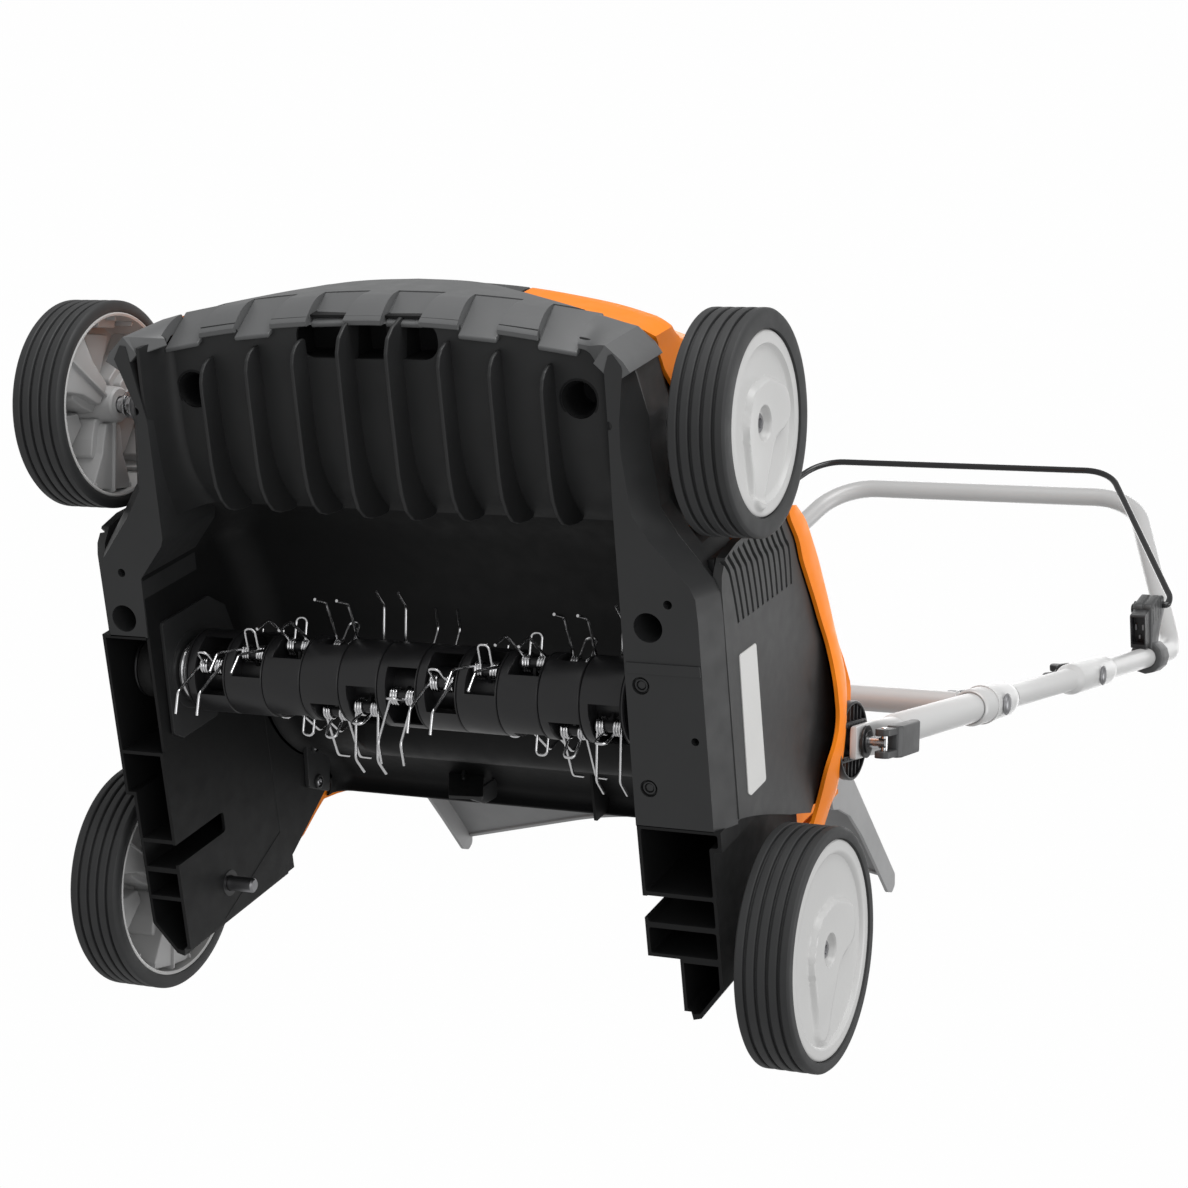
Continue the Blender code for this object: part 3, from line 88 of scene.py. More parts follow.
# ------------------------------------------------------------------- materials
def material(name, base, rough, metal=0.0, vary=0.06, grain=900.0, bump=0.12, depth=0.00012, rough_vary=0.06,
             cloud=14.0, coat=0.0, spec=0.5, streak=None):
    """Moulded or painted surface: clouded colour, uneven gloss and a fine grain."""
    m = bpy.data.materials.new(name)
    m.use_nodes = True
    nt = m.node_tree
    n, l = nt.nodes, nt.links
    p = n["Principled BSDF"]
    p.inputs["Metallic"].default_value = metal
    p.inputs["Specular IOR Level"].default_value = spec
    if coat:
        p.inputs["Coat Weight"].default_value = coat
        p.inputs["Coat Roughness"].default_value = 0.12
    tc = n.new("ShaderNodeTexCoord")
    src = tc.outputs["Object"]
    if streak:
        mp = n.new("ShaderNodeMapping")
        mp.inputs["Scale"].default_value = streak
        l.new(src, mp.inputs["Vector"])
        src = mp.outputs["Vector"]
    big = n.new("ShaderNodeTexNoise")
    big.inputs["Scale"].default_value = cloud
    big.inputs["Detail"].default_value = 4.0
    l.new(src, big.inputs["Vector"])
    ramp = n.new("ShaderNodeValToRGB")
    ramp.color_ramp.elements[0].position, ramp.color_ramp.elements[1].position = 0.3, 0.72
    ramp.color_ramp.elements[0].color = (*[c * (1 - vary) for c in base], 1)
    ramp.color_ramp.elements[1].color = (*[min(1.0, c * (1 + vary)) for c in base], 1)
    l.new(big.outputs["Fac"], ramp.inputs["Fac"])
    l.new(ramp.outputs["Color"], p.inputs["Base Color"])
    mr = n.new("ShaderNodeMapRange")
    mr.inputs["From Min"].default_value, mr.inputs["From Max"].default_value = 0.3, 0.7
    mr.inputs["To Min"].default_value, mr.inputs["To Max"].default_value = rough - rough_vary, rough + rough_vary
    mid = n.new("ShaderNodeTexNoise")
    mid.inputs["Scale"].default_value = cloud * 5
    mid.inputs["Detail"].default_value = 3.0
    l.new(src, mid.inputs["Vector"])
    l.new(mid.outputs["Fac"], mr.inputs["Value"])
    l.new(mr.outputs["Result"], p.inputs["Roughness"])
    fine = n.new("ShaderNodeTexNoise")
    fine.inputs["Scale"].default_value = grain
    fine.inputs["Detail"].default_value = 2.0
    l.new(src, fine.inputs["Vector"])
    if bump <= 0:
        return m
    b = n.new("ShaderNodeBump")
    b.inputs["Strength"].default_value = bump
    b.inputs["Distance"].default_value = depth
    l.new(fine.outputs["Fac"], b.inputs["Height"])
    l.new(b.outputs["Normal"], p.inputs["Normal"])
    return m


M = {
    "deck": material("deck_plastic", (0.021, 0.0215, 0.022), 0.48, vary=0.10, grain=1100, spec=0.35),
    # darker copy of the deck plastic for the chamber, pockets and parts under the hood: painted shade
    "dark": material("deck_plastic_painted_shade", (0.0085, 0.0087, 0.009), 0.52, vary=0.12, grain=1000, spec=0.22),
    "side": material("side_plastic", (0.027, 0.0277, 0.0284), 0.44, vary=0.08, grain=1100, spec=0.4),
    "strip": material("strip_plastic", (0.104, 0.1060, 0.1075), 0.44, vary=0.05, grain=1400, bump=0.10),
    "cover": material("cover_plastic", (0.031, 0.0316, 0.0322), 0.45, vary=0.06, grain=1200),
    "hood": material("hood_plastic", (0.90, 0.235, 0.010), 0.42, vary=0.025, grain=1500, bump=0.04, spec=0.18),
    "plate": material("plate_plastic", (0.62, 0.62, 0.61), 0.38, vary=0.02, grain=1500, bump=0.05),
    "black": material("black_plastic", (0.012, 0.012, 0.013), 0.34, vary=0.12, grain=1400),
    "grey": material("grey_plastic", (0.050, 0.0512, 0.0525), 0.45, vary=0.08, grain=1200),
    "rotor": material("rotor_plastic", (0.014, 0.014, 0.015), 0.38, vary=0.12, grain=900),
    "belt": material("belt_rubber", (0.012, 0.012, 0.012), 0.75, vary=0.15, grain=700),
    "tyre": material("tyre_rubber", (0.029, 0.0297, 0.0305), 0.60, vary=0.10, grain=1300, bump=0.10, rough_vary=0.06, spec=0.4),
    "hub": material("hub_plastic", (0.52, 0.52, 0.515), 0.36, vary=0.02, grain=1500, bump=0.05),
    # darker copy of the hub plastic for the inner side of the hubs: painted shade
    "hub_shaded": material("hub_plastic_painted_shade", (0.42, 0.42, 0.42), 0.40, vary=0.03, grain=1500, bump=0.05),
    "steel": material("steel", (0.62, 0.62, 0.63), 0.24, metal=1.0, vary=0.08, grain=500, bump=0.06),
    "dull": material("steel_dull", (0.30, 0.30, 0.31), 0.38, metal=1.0, vary=0.10, grain=500, bump=0.1),
    "spring": material("spring_steel", (0.78, 0.78, 0.79), 0.20, metal=1.0, vary=0.04, grain=600, bump=0.0, rough_vary=0.02),
    "copper": material("armature_metal", (0.42, 0.20, 0.10), 0.36, metal=0.9, vary=0.15, grain=400, bump=0.3,
                       streak=(0.15, 1, 1)),
    "flap": material("flap_plastic", (0.30, 0.302, 0.305), 0.42, vary=0.05, grain=1200),
    # darker copy of the flap plastic for the flap panel: painted shade
    "flap_shaded": material("flap_plastic_painted_shade", (0.20, 0.202, 0.205), 0.45, vary=0.05, grain=1200),
    "tube": material("handle_tube", (0.52, 0.52, 0.518), 0.34, metal=0.05, vary=0.015, grain=1600, bump=0.0, rough_vary=0.02, spec=0.6),
    "bail": material("bail_wire", (0.010, 0.010, 0.011), 0.20, metal=0.2, vary=0.10, grain=1500, bump=0.05, coat=0.4),
}


# --------------------------------------------------------------------- helpers
def raw(verts, faces, normals=True):
    me = bpy.data.meshes.new("m")
    me.from_pydata([tuple(v) for v in verts], [], faces)
    if normals:
        bm = bmesh.new()
        bm.from_mesh(me)
        bmesh.ops.recalc_face_normals(bm, faces=bm.faces)
        bm.to_mesh(me)
        bm.free()
    return me


def obj(me):
    o = bpy.data.objects.new("o", me)
    bpy.context.scene.collection.objects.link(o)
    return o


def prism(poly, axis, lo, hi):
    def put(a, b, c):
        return {"X": (c, a, b), "Y": (a, c, b), "Z": (a, b, c)}[axis]
    n = len(poly)
    verts = [put(a, b, lo) for a, b in poly] + [put(a, b, hi) for a, b in poly]
    faces = [tuple(range(n)), tuple(range(n, 2 * n))]
    faces += [(i, (i + 1) % n, n + (i + 1) % n, n + i) for i in range(n)]
    return obj(raw(verts, faces))


def box(x0, x1, y0, y1, z0, z1):
    return prism([(x0, y0), (x1, y0), (x1, y1), (x0, y1)], "Z", z0, z1)


def frame_of(direction):
    w = Vector(direction).normalized()
    u = Vector((0, 0, 1)).cross(w) if abs(w.z) < 0.9 else Vector((1, 0, 0)).cross(w)
    u.normalize()
    return u, w.cross(u), w


def lathe(profile, origin, direction, n=48, closed=True):
    u, v, w = frame_of(direction)
    o = Vector(origin)
    verts, rings = [], []
    for s, r in profile:
        if r <= 1e-9:
            rings.append([len(verts)])
            verts.append(o + w * s)
        else:
            rings.append(list(range(len(verts), len(verts) + n)))
            verts += [o + w * s + (u * math.cos(2 * math.pi * k / n) + v * math.sin(2 * math.pi * k / n)) * r
                      for k in range(n)]
    faces = []
    pairs = list(zip(rings, rings[1:]))
    if closed:
        pairs.append((rings[-1], rings[0]))
    for a, b in pairs:
        if len(a) == 1 and len(b) == 1:
            continue
        for k in range(n):
            j = (k + 1) % n
            if len(a) == 1:
                faces.append((a[0], b[k], b[j]))
            elif len(b) == 1:
                faces.append((a[k], a[j], b[0]))
            else:
                faces.append((a[k], a[j], b[j], b[k]))
    return obj(raw(verts, faces))


def rod(a, b, r, n=20, chamfer=0.0):
    a, b = Vector(a), Vector(b)
    L = (b - a).length
    c = min(chamfer, r * 0.5)
    if c > 0:
        prof = [(0, 0), (0, r - c), (c, r), (L - c, r), (L, r - c), (L, 0)]
    else:
        prof = [(0, 0), (0, r), (L, r), (L, 0)]
    return lathe(prof, a, b - a, n, closed=False)


def ring(a, b, r0, r1, n=32):
    a, b = Vector(a), Vector(b)
    L = (b - a).length
    return lathe([(0, r0), (0, r1), (L, r1), (L, r0)], a, b - a, n)


def rounded(points, radius, steps=8):
    points = [Vector(p) for p in points]
    out = [points[0]]
    for i in range(1, len(points) - 1):
        p, q, s = points[i - 1], points[i], points[i + 1]
        a, b = (p - q).normalized(), (s - q).normalized()
        half = a.angle(b) / 2
        cut_ = min(radius / math.tan(half), 0.48 * (p - q).length, 0.48 * (s - q).length)
        r = cut_ * math.tan(half)
        centre = q + (a + b).normalized() * (r / math.sin(half))
        start, end = q + a * cut_ - centre, q + b * cut_ - centre
        turn = start.angle(end)
        for k in range(steps + 1):
            t = k / steps
            v = start.lerp(end, t) if turn < 1e-4 else (
                start * math.sin((1 - t) * turn) + end * math.sin(t * turn)) / math.sin(turn)
            out.append(centre + v)
    out.append(points[-1])
    return out


def smooth_path(points, radius, steps=5):
    """2-D polygon with every corner rounded, closed."""
    pts = [Vector((p[0], p[1], 0)) for p in points]
    n = len(pts)
    out = []
    for i in range(n):
        p, q, s = pts[i - 1], pts[i], pts[(i + 1) % n]
        a, b = (p - q).normalized(), (s - q).normalized()
        half = a.angle(b) / 2
        if half > math.pi / 2 - 0.02:
            out.append((q.x, q.y))
            continue
        r0 = radius[i] if isinstance(radius, (list, tuple)) else radius
        c = min(r0 / math.tan(half), 0.45 * (p - q).length, 0.45 * (s - q).length)
        r = c * math.tan(half)
        centre = q + (a + b).normalized() * (r / math.sin(half))
        start, end = q + a * c - centre, q + b * c - centre
        turn = start.angle(end)
        for k in range(steps + 1):
            t = k / steps
            v = (start * math.sin((1 - t) * turn) + end * math.sin(t * turn)) / max(math.sin(turn), 1e-6)
            out.append(((centre + v).x, (centre + v).y))
    return out


def tube(path, r, n=16, inner=None, closed=False):
    path = [Vector(p) for p in path]
    tangents = []
    for i in range(len(path)):
        a = (path[i] - path[i - 1]).normalized() if i else None
        b = (path[i + 1] - path[i]).normalized() if i + 1 < len(path) else None
        tangents.append(((a or b) + (b or a)).normalized())
    u, v, _ = frame_of(tangents[0])
    loops, prev = [], tangents[0]
    for p, t in zip(path, tangents):
        u = prev.rotation_difference(t) @ u
        u = (u - t * u.dot(t)).normalized()
        v = t.cross(u)
        prev = t
        loops.append([(u * math.cos(2 * math.pi * k / n) + v * math.sin(2 * math.pi * k / n)) for k in range(n)])
    verts, faces = [], []
    m = len(path)
    radii = [r] if inner is None else [r, inner]
    rr = r if isinstance(r, (list, tuple)) else None
    if rr:
        radii = [None]
    for rad in radii:
        for i, (p, lp) in enumerate(zip(path, loops)):
            verts += [p + d * (rr[i] if rr else rad) for d in lp]
    for layer in range(len(radii)):
        base = layer * m * n
        for i in range(m - 1):
            for k in range(n):
                j = (k + 1) % n
                faces.append((base + i * n + k, base + i * n + j, base + (i + 1) * n + j, base + (i + 1) * n + k))
    if inner is None:
        faces += [tuple(range(n)), tuple((m - 1) * n + k for k in range(n))]
    else:
        for i in (0, m - 1):
            for k in range(n):
                j = (k + 1) % n
                faces.append((i * n + k, i * n + j, m * n + i * n + j, m * n + i * n + k))
    return obj(raw(verts, faces))


def bake(o):
    """Applies the modifiers of a scratch object."""
    bpy.context.view_layer.update()
    me = bpy.data.meshes.new_from_object(o.evaluated_get(bpy.context.evaluated_depsgraph_get()))
    o.modifiers.clear()
    o.data = me
    return o


def bevel(o, width, seg=2, angle=32):
    m = o.modifiers.new("bevel", "BEVEL")
    m.width, m.segments, m.limit_method, m.angle_limit = width, seg, "ANGLE", math.radians(angle)
    m.harden_normals = False
    m.use_clamp_overlap = True
    return bake(o)


def boolean(a, b, operation="DIFFERENCE", self_cuts=False):
    m = a.modifiers.new("b", "BOOLEAN")
    m.operation, m.solver, m.object, m.use_self = operation, "EXACT", b, self_cuts
    bake(a)
    bpy.data.objects.remove(b, do_unlink=True)
    return a


def cut(a, tools):
    for t in tools:
        boolean(a, t)
    return a


def joined(parts):
    bm = bmesh.new()
    for p in parts:
        bm.from_mesh(p.data)
        bpy.data.objects.remove(p, do_unlink=True)
    me = bpy.data.meshes.new("m")
    bm.to_mesh(me)
    bm.free()
    return obj(me)


def thick(points, t):
    points = [Vector(p) for p in points]
    off = []
    for i, p in enumerate(points):
        a = (points[i] - points[i - 1]).normalized() if i else None
        b = (points[i + 1] - points[i]).normalized() if i + 1 < len(points) else None
        a, b = a or b, b or a
        na, nb = Vector((-a.y, a.x)), Vector((-b.y, b.x))
        mid = (na + nb).normalized()
        off.append(p + mid * (t / max(0.5, mid.dot(na))))
    return [tuple(p) for p in points] + [tuple(p) for p in reversed(off)]


def table(tab, t):
    if t <= tab[0][0]:
        return tab[0][1]
    for (a, va), (b, vb) in zip(tab, tab[1:]):
        if t <= b:
            return va + (vb - va) * (t - a) / (b - a)
    return tab[-1][1]


def soft_table(tab, t):
    """Like table, through a smooth curve."""
    if t <= tab[0][0]:
        return tab[0][1]
    n = len(tab)
    for i in range(n - 1):
        (a, va), (b, vb) = tab[i], tab[i + 1]
        if t <= b:
            s = (t - a) / (b - a)
            m0 = (vb - tab[i - 1][1]) / (b - tab[i - 1][0]) if i else (vb - va) / (b - a)
            m1 = (tab[i + 2][1] - va) / (tab[i + 2][0] - a) if i + 2 < n else (vb - va) / (b - a)
            h = b - a
            return ((2 * s ** 3 - 3 * s ** 2 + 1) * va + (s ** 3 - 2 * s ** 2 + s) * h * m0
                    + (-2 * s ** 3 + 3 * s ** 2) * vb + (s ** 3 - s ** 2) * h * m1)
    return tab[-1][1]


def grid(points, close_u=False, close_v=False):
    """Surface through rows of points, left open."""
    nu, nv = len(points), len(points[0])
    verts = [p for row in points for p in row]
    faces = []
    for i in range(nu if close_u else nu - 1):
        for j in range(nv if close_v else nv - 1):
            a, b = (i + 1) % nu, (j + 1) % nv
            faces.append((i * nv + j, a * nv + j, a * nv + b, i * nv + b))
    return obj(raw(verts, faces))


def solid_grid(points, back):
    """Closed skin between a surface and its copy moved by back, a vector or a function of the point."""
    nu, nv = len(points), len(points[0])
    give = back if callable(back) else (lambda p: Vector(back))
    front = [Vector(p) for row in points for p in row]
    verts = front + [p + give(p) for p in front]
    N = nu * nv
    faces = []
    for i in range(nu - 1):
        for j in range(nv - 1):
            q = (i * nv + j, (i + 1) * nv + j, (i + 1) * nv + j + 1, i * nv + j + 1)
            faces.append(q)
            faces.append(tuple(N + k for k in q))
    rim = [(i, 0) for i in range(nu)] + [(nu - 1, j) for j in range(1, nv)]
    rim += [(i, nv - 1) for i in range(nu - 2, -1, -1)] + [(0, j) for j in range(nv - 2, 0, -1)]
    for (i, j), (k, m_) in zip(rim, rim[1:] + rim[:1]):
        a, b = i * nv + j, k * nv + m_
        faces.append((a, b, N + b, N + a))
    return obj(raw(verts, faces))


PIECES = []


def add(name, o, mat, body, repl=(), width=0.0, seg=2, angle=32, sharp=38, turn=None):
    """Names a finished piece, rounds its edges, shades it and lets it ride on its body."""
    if isinstance(o, list):
        o = joined(o) if len(o) > 1 else o[0]
    if width:
        bevel(o, width, seg, angle)
    me = o.data
    bm = bmesh.new()
    bm.from_mesh(me)
    bmesh.ops.remove_doubles(bm, verts=bm.verts, dist=1e-6)
    bmesh.ops.dissolve_degenerate(bm, edges=bm.edges, dist=1e-7)
    limit = math.radians(sharp)
    for e in bm.edges:
        e.smooth = not (len(e.link_faces) == 2 and e.calc_face_angle(0.0) > limit)
    for f in bm.faces:
        f.smooth = True
        f.material_index = 0
    bm.to_mesh(me)
    bm.free()
    me.materials.clear()
    me.materials.append(M[mat])
    if width:
        w = o.modifiers.new("normals", "WEIGHTED_NORMAL")
        w.keep_sharp = True
        w.weight = 60
    o.name = name
    me.name = name
    o.location = (0, YC, 0)
    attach(o, body)
    if repl:
        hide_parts(*repl)
    PIECES.append(o)
    return o
def smoothstep(a, b, t):
    t = max(0.0, min(1.0, (t - a) / (b - a)))
    return t * t * (3 - 2 * t)




def skin(points, t, mat=None):
    """Sheet of thickness t above a surface drawn row by row along x."""
    nu, nv = len(points), len(points[0])
    verts = [p for row in points for p in row]
    faces = [(i * nv + j, (i + 1) * nv + j, (i + 1) * nv + j + 1, i * nv + j + 1)
             for i in range(nu - 1) for j in range(nv - 1)]
    o = obj(raw(verts, faces, normals=False))
    m = o.modifiers.new("s", "SOLIDIFY")
    m.thickness, m.offset, m.use_even_offset = t, 1.0, True
    return bake(o)


def span(a, b, n):
    return [a + (b - a) * k / n for k in range(n + 1)]


# ---------------------------------------------------------------- lower moulding
ARC = [(0.0, -0.4566), (0.03, -0.4561), (0.05, -0.4552), (0.08, -0.4530), (0.10, -0.4510), (0.135, -0.4462),
       (0.155, -0.4428), (0.1815, -0.4366)]


def arc_y(x):
    return soft_table(ARC, abs(x))


PANEL = [(-0.460, 0.0505), (-0.400, 0.0505), (-0.365, 0.0504), (-0.344, 0.0528), (-0.3293, 0.0578), (-0.315, 0.0665),
         (-0.3030, 0.0775)]


SCOOPS = [-0.1500 + k * 0.0573 for k in range(6)]


def wedge_tool(x):
    """Slanting notch of one scoop, open towards the front and below."""
    y = arc_y(x)
    tilt = (arc_y(x + 0.002) - arc_y(x - 0.002)) / 0.004
    pairs = ((-0.0300, 0.0838), (0.0012, 0.0838), (0.0202, 0.0440), (-0.0300, 0.0440))
    vs = [(x + s * w, y + d + tilt * s * w, z)
          for i, (d, z) in enumerate(pairs) for s in (-1, 1) for w in ((0.0180 if i < 2 else 0.0140),)]
    return obj(raw(vs, [(0, 2, 4, 6), (1, 3, 5, 7), (0, 1, 3, 2), (2, 3, 5, 4), (4, 5, 7, 6), (6, 7, 1, 0)]))


EDGE_R = [(-0.4400, 0.1742), (-0.4200, 0.1794), (-0.3855, 0.1798), (-0.3304, 0.1779), (-0.3030, 0.1776)]
EDGE_L = [(-0.4400, 0.1692), (-0.4100, 0.1704), (-0.3757, 0.1710), (-0.3030, 0.1724)]


def panel_point(u, v):
    """Level floor that turns down towards the two rails in a narrow fillet."""
    x = u * 0.176
    y0 = arc_y(x) + 0.0095
    y = y0 + (-0.3030 - y0) * v
    edge = table(EDGE_R if u > 0 else EDGE_L, y)
    a = abs(u)
    x = a / 0.88 * 0.1590 if a < 0.88 else 0.1590 + (edge - 0.1590) * (a - 0.88) / 0.12
    z = soft_table(PANEL, y)
    t = max(0.0, (x - 0.1590) / (edge - 0.1590))
    z -= (z - 0.0236) * (1 - math.sqrt(max(0.0, 1 - min(t, 1.0) ** 2)))
    return (math.copysign(x, u), y, z)


rows = []
for u in span(-1, -0.88, 14)[:-1] + span(-0.88, 0.88, 30) + span(0.88, 1, 14)[1:]:
    rows.append([panel_point(u, v) for v in span(0, 1, 34)])
panel = skin(rows, 0.0026)
grip_hole = smooth_path([(-0.0600, -0.4438), (0.0478, -0.4438), (0.0478, -0.4172), (-0.0600, -0.4172)], 0.0128, 8)
cut(panel, [prism(grip_hole, "Z", 0.03, 0.07)] + [wedge_tool(x) for x in SCOOPS])
for side in (1, -1):
    cut(panel, [rod((side * 0.147, -0.3930, 0.0400), (side * 0.147, -0.3930, 0.0640), 0.0128, 40)])
add("front_panel", panel, "deck", "chassis", ["chassis_housing"], 0.0007, 2, 40)
# dark cups behind the two round holes, in the darker deck plastic: painted shade inside the holes
cups = []
for side in (1, -1):
    cups.append(lathe([(0.0, 0.0130), (0.0, 0.0145), (0.0070, 0.0125), (0.0300, 0.0118), (0.0300, 0), (0.0285, 0),
                       (0.0285, 0.0098), (0.0060, 0.0102), (0.0025, 0.0112), (0.0006, 0.0124)],
                      (side * 0.147, -0.3930, 0.0503), (0, 0, 1), 40, closed=False))
# pocket walls behind the grip, in the darker deck plastic: painted shade in the pocket
cups.append(box(-0.0640, 0.0520, -0.4174, -0.4152, 0.0526, 0.0780))
cups.append(box(-0.0640, 0.0520, -0.4460, -0.4440, 0.0560, 0.0780))
cups.append(box(-0.0640, 0.0520, -0.4460, -0.4152, 0.0770, 0.0790))
for x in (-0.0640, -0.0185 - 0.0011, 0.0185 - 0.0011, 0.0500):
    cups.append(box(x, x + 0.0022, -0.4400, -0.4160, 0.0530, 0.0780))
cups.append(box(-0.0340, -0.0300, -0.4440, -0.4185, 0.0640, 0.0775))
cups.append(box(0.0020, 0.0060, -0.4440, -0.4185, 0.0640, 0.0775))
add("panel_pockets", cups, "dark", "chassis", width=0.0004)
# thin dark sheets inside the nose: painted shade under the hood
nose_shade_sheets = []
for s_ in (1, -1):
    nose_shade_sheets.append(prism([(s_ * 0.1600, -0.4360), (s_ * 0.1930, -0.4180), (s_ * 0.1985, -0.3900), (s_ * 0.1985, -0.3000),
                         (s_ * 0.1600, -0.2900)], "Z", 0.1010, 0.1026))
add("nose_painted_shade", nose_shade_sheets, "dark", "chassis", width=0.0004)

ribs = []
for k in range(8):
    x = (k - 3.5) * 0.0369
    if abs(x) < 0.03:
        crest = [(-0.4450, 0.0545), (-0.4415, 0.0430), (-0.4355, 0.0345), (-0.4260, 0.0300), (-0.3950, 0.0290),
                 (-0.3450, 0.0290), (-0.3290, 0.0305), (-0.3163, 0.0345), (-0.3085, 0.0420), (-0.3048, 0.0520),
                 (-0.3030, 0.0640), (-0.3028, 0.0785)]
        base = [(-0.3200, 0.0670), (-0.3440, 0.0550), (-0.3650, 0.0525), (-0.4000, 0.0525), (-0.4450, 0.0640)]
    else:
        tip = {1: -0.4312, 2: -0.4258, 3: -0.4174}[int(round(abs(x) / 0.0369 - 0.5))]
        crest = [(tip, 0.0520), (tip + 0.0005, 0.0450), (tip + 0.0030, 0.0390), (tip + 0.0075, 0.0345),
                 (tip + 0.0140, 0.0318), (-0.3950, 0.0312), (-0.3450, 0.0312), (-0.3290, 0.0330), (-0.3175, 0.0378),
                 (-0.3095, 0.0445), (-0.3055, 0.0535), (-0.3036, 0.0650), (-0.3032, 0.0785)]
        base = [(-0.3200, 0.0670), (-0.3440, 0.0550), (-0.3650, 0.0525), (-0.4000, 0.0525)]
    poly = smooth_path(crest + base, 0.006, 3)
    ribs.append(prism(poly, "X", x - 0.0015, x + 0.0015))
add("intake_ribs", ribs, "deck", "chassis", width=0.0011, seg=3, angle=40)

# chamber roof, front part with its side walls, in the darker deck plastic: painted shade
CHAMBER = [(-0.3020, 0.0960), (-0.2960, 0.1080), (-0.2850, 0.1220), (-0.2700, 0.1350), (-0.2500, 0.1460),
           (-0.2300, 0.1545), (-0.2000, 0.1630), (-0.1600, 0.1660), (-0.1200, 0.1730), (-0.0850, 0.1900),
           (-0.0620, 0.2120), (-0.0470, 0.2350), (-0.0300, 0.2520), (-0.0160, 0.2590), (-0.0085, 0.2520)]
LEFT_IN = [(-0.3020, -0.1722), (-0.2864, -0.1740), (-0.2616, -0.1945), (-0.20, -0.1958), (0.0, -0.1972)]
RIGHT_IN = [(-0.3020, 0.1768), (-0.22, 0.1756), (-0.105, 0.1742), (0.0, 0.1742)]


def ceiling_row(y, xl, xr, low, r, n=10):
    z = soft_table(CHAMBER, y)
    pts = [(xl, y, low), (xl, y, low + (z - r - low) * 0.5)]
    pts += [(xl + r - r * math.cos(a), y, z - r + r * math.sin(a)) for a in span(0, math.pi / 2, n)]
    pts += [(xl + r + (xr - xl - 2 * r) * t, y, z) for t in span(0, 1, 12)[1:-1]]
    pts += [(xr - r + r * math.cos(a), y, z - r + r * math.sin(a)) for a in span(math.pi / 2, 0, n)]
    pts += [(xr, y, low + (z - r - low) * 0.5), (xr, y, low)]
    return pts


rows = []
for y in span(-0.3020, -0.1290, 36):
    rows.append(ceiling_row(y, table(LEFT_IN, y), table(RIGHT_IN, y), 0.0240, 0.026))
rows = [[rows[j][i] for j in range(len(rows))] for i in range(len(rows[0]))]
add("chamber", skin(rows, 0.0024), "dark", "chassis", sharp=50)
rows = []
for y in span(-0.1300, -0.0085, 34):
    z = soft_table(CHAMBER, y)
    rows.append(ceiling_row(y, -0.1972, 0.1972, z - 0.016, 0.0120, 5))
rows = [[rows[j][i] for j in range(len(rows))] for i in range(len(rows[0]))]
add("chute_roof", skin(rows, 0.0026), "dark", "chassis", width=0.0008, angle=50, sharp=50)

# bulge over the motor, in the darker deck plastic: painted shade
bulge = lathe([(-0.138, 0), (-0.138, 0.010), (-0.1365, 0.0180), (-0.1325, 0.0245), (-0.1265, 0.0285), (-0.118, 0.0300),
               (0.102, 0.0300), (0.108, 0.0285), (0.112, 0.0245), (0.113, 0.018), (0.113, 0)],
              (0, -0.0950, 0.2050), (1, 0, 0), 40, closed=False)
fins = [bulge, prism(smooth_path([(-0.0700, 0.2330), (-0.0100, 0.2330), (-0.0100, 0.2620), (-0.0500, 0.2400)], 0.002, 3),
                     "X", 0.0380, 0.0400)]
add("motor_bulge", fins, "dark", "chassis", sharp=45)

# flat plate that leans a little forward, with a rounded web beside it
latch = [prism(smooth_path([(-0.0968, 0.2565), (-0.0670, 0.2585), (-0.0440, 0.2120), (-0.0724, 0.2092)], 0.0020, 3), "Y",
               -0.0315, -0.0285),
         prism(smooth_path([(-0.0315, 0.2130), (-0.0290, 0.2110), (-0.0160, 0.2330), (-0.0130, 0.2550), (-0.0290, 0.2560)],
                           0.004, 4), "X", -0.0570, -0.0545),
         rod((-0.0850, -0.0400, 0.2620), (-0.0740, -0.0330, 0.2380), 0.0015, 16)]
add("roof_latch", latch, "side", "chassis", width=0.0008)

# ----------------------------------------------------------------------- rails
low_r = [(0.1832, -0.4300), (0.1796, -0.4200), (0.1790, -0.3855), (0.1771, -0.3304), (0.1762, -0.2686), (0.1754, -0.2202),
         (0.1736, -0.1079), (0.2297, -0.1079), (0.2302, -0.2277), (0.2305, -0.2534), (0.2298, -0.2697), (0.2260, -0.2785),
         (0.2005, -0.3079), (0.1899, -0.3254), (0.1861, -0.3662), (0.1870, -0.3858), (0.1918, -0.4205), (0.1914, -0.4230), (0.1856, -0.4310)]
low_l = [(-0.1800, -0.4300), (-0.1704, -0.3757), (-0.1715, -0.2923), (-0.1735, -0.2864), (-0.1943, -0.2616),
         (-0.1958, -0.2174), (-0.2274, -0.2170), (-0.2274, -0.2620), (-0.2260, -0.2680), (-0.2235, -0.2760),
         (-0.1990, -0.3060), (-0.1870, -0.3240), (-0.1847, -0.3270), (-0.1782, -0.3868), (-0.1900, -0.4210),
         (-0.1840, -0.4305)]


def rail(low, side, n_in):
    """Flat foot with a sloping outer flank that turns upright further up."""
    levels = []
    for z, off in ((0.0225, 0.0), (0.0400, 0.0104), (0.0430, 0.0088), (0.0930, 0.0088)):
        ring_ = []
        for i, (x, y) in enumerate(low):
            if i < n_in:
                ring_.append((x, y, z))
            else:
                o_ = off + (0.0030 if z > 0.03 and y < -0.2900 else 0.0)
                ring_.append((x + side * (o_ if y > -0.3950 else 0.0004), y, z))
        levels.append(ring_)
    levels[-1] = [(x, y, 0.0770 if y < -0.3800 else z) for x, y, z in levels[-1]]
    n = len(low)
    verts = [p for r in levels for p in r]
    faces = [tuple(range(n)), tuple(range(3 * n, 4 * n))]
    for k in range(3):
        faces += [(k * n + i, k * n + (i + 1) % n, (k + 1) * n + (i + 1) % n, (k + 1) * n + i) for i in range(n)]
    return obj(raw(verts, faces))


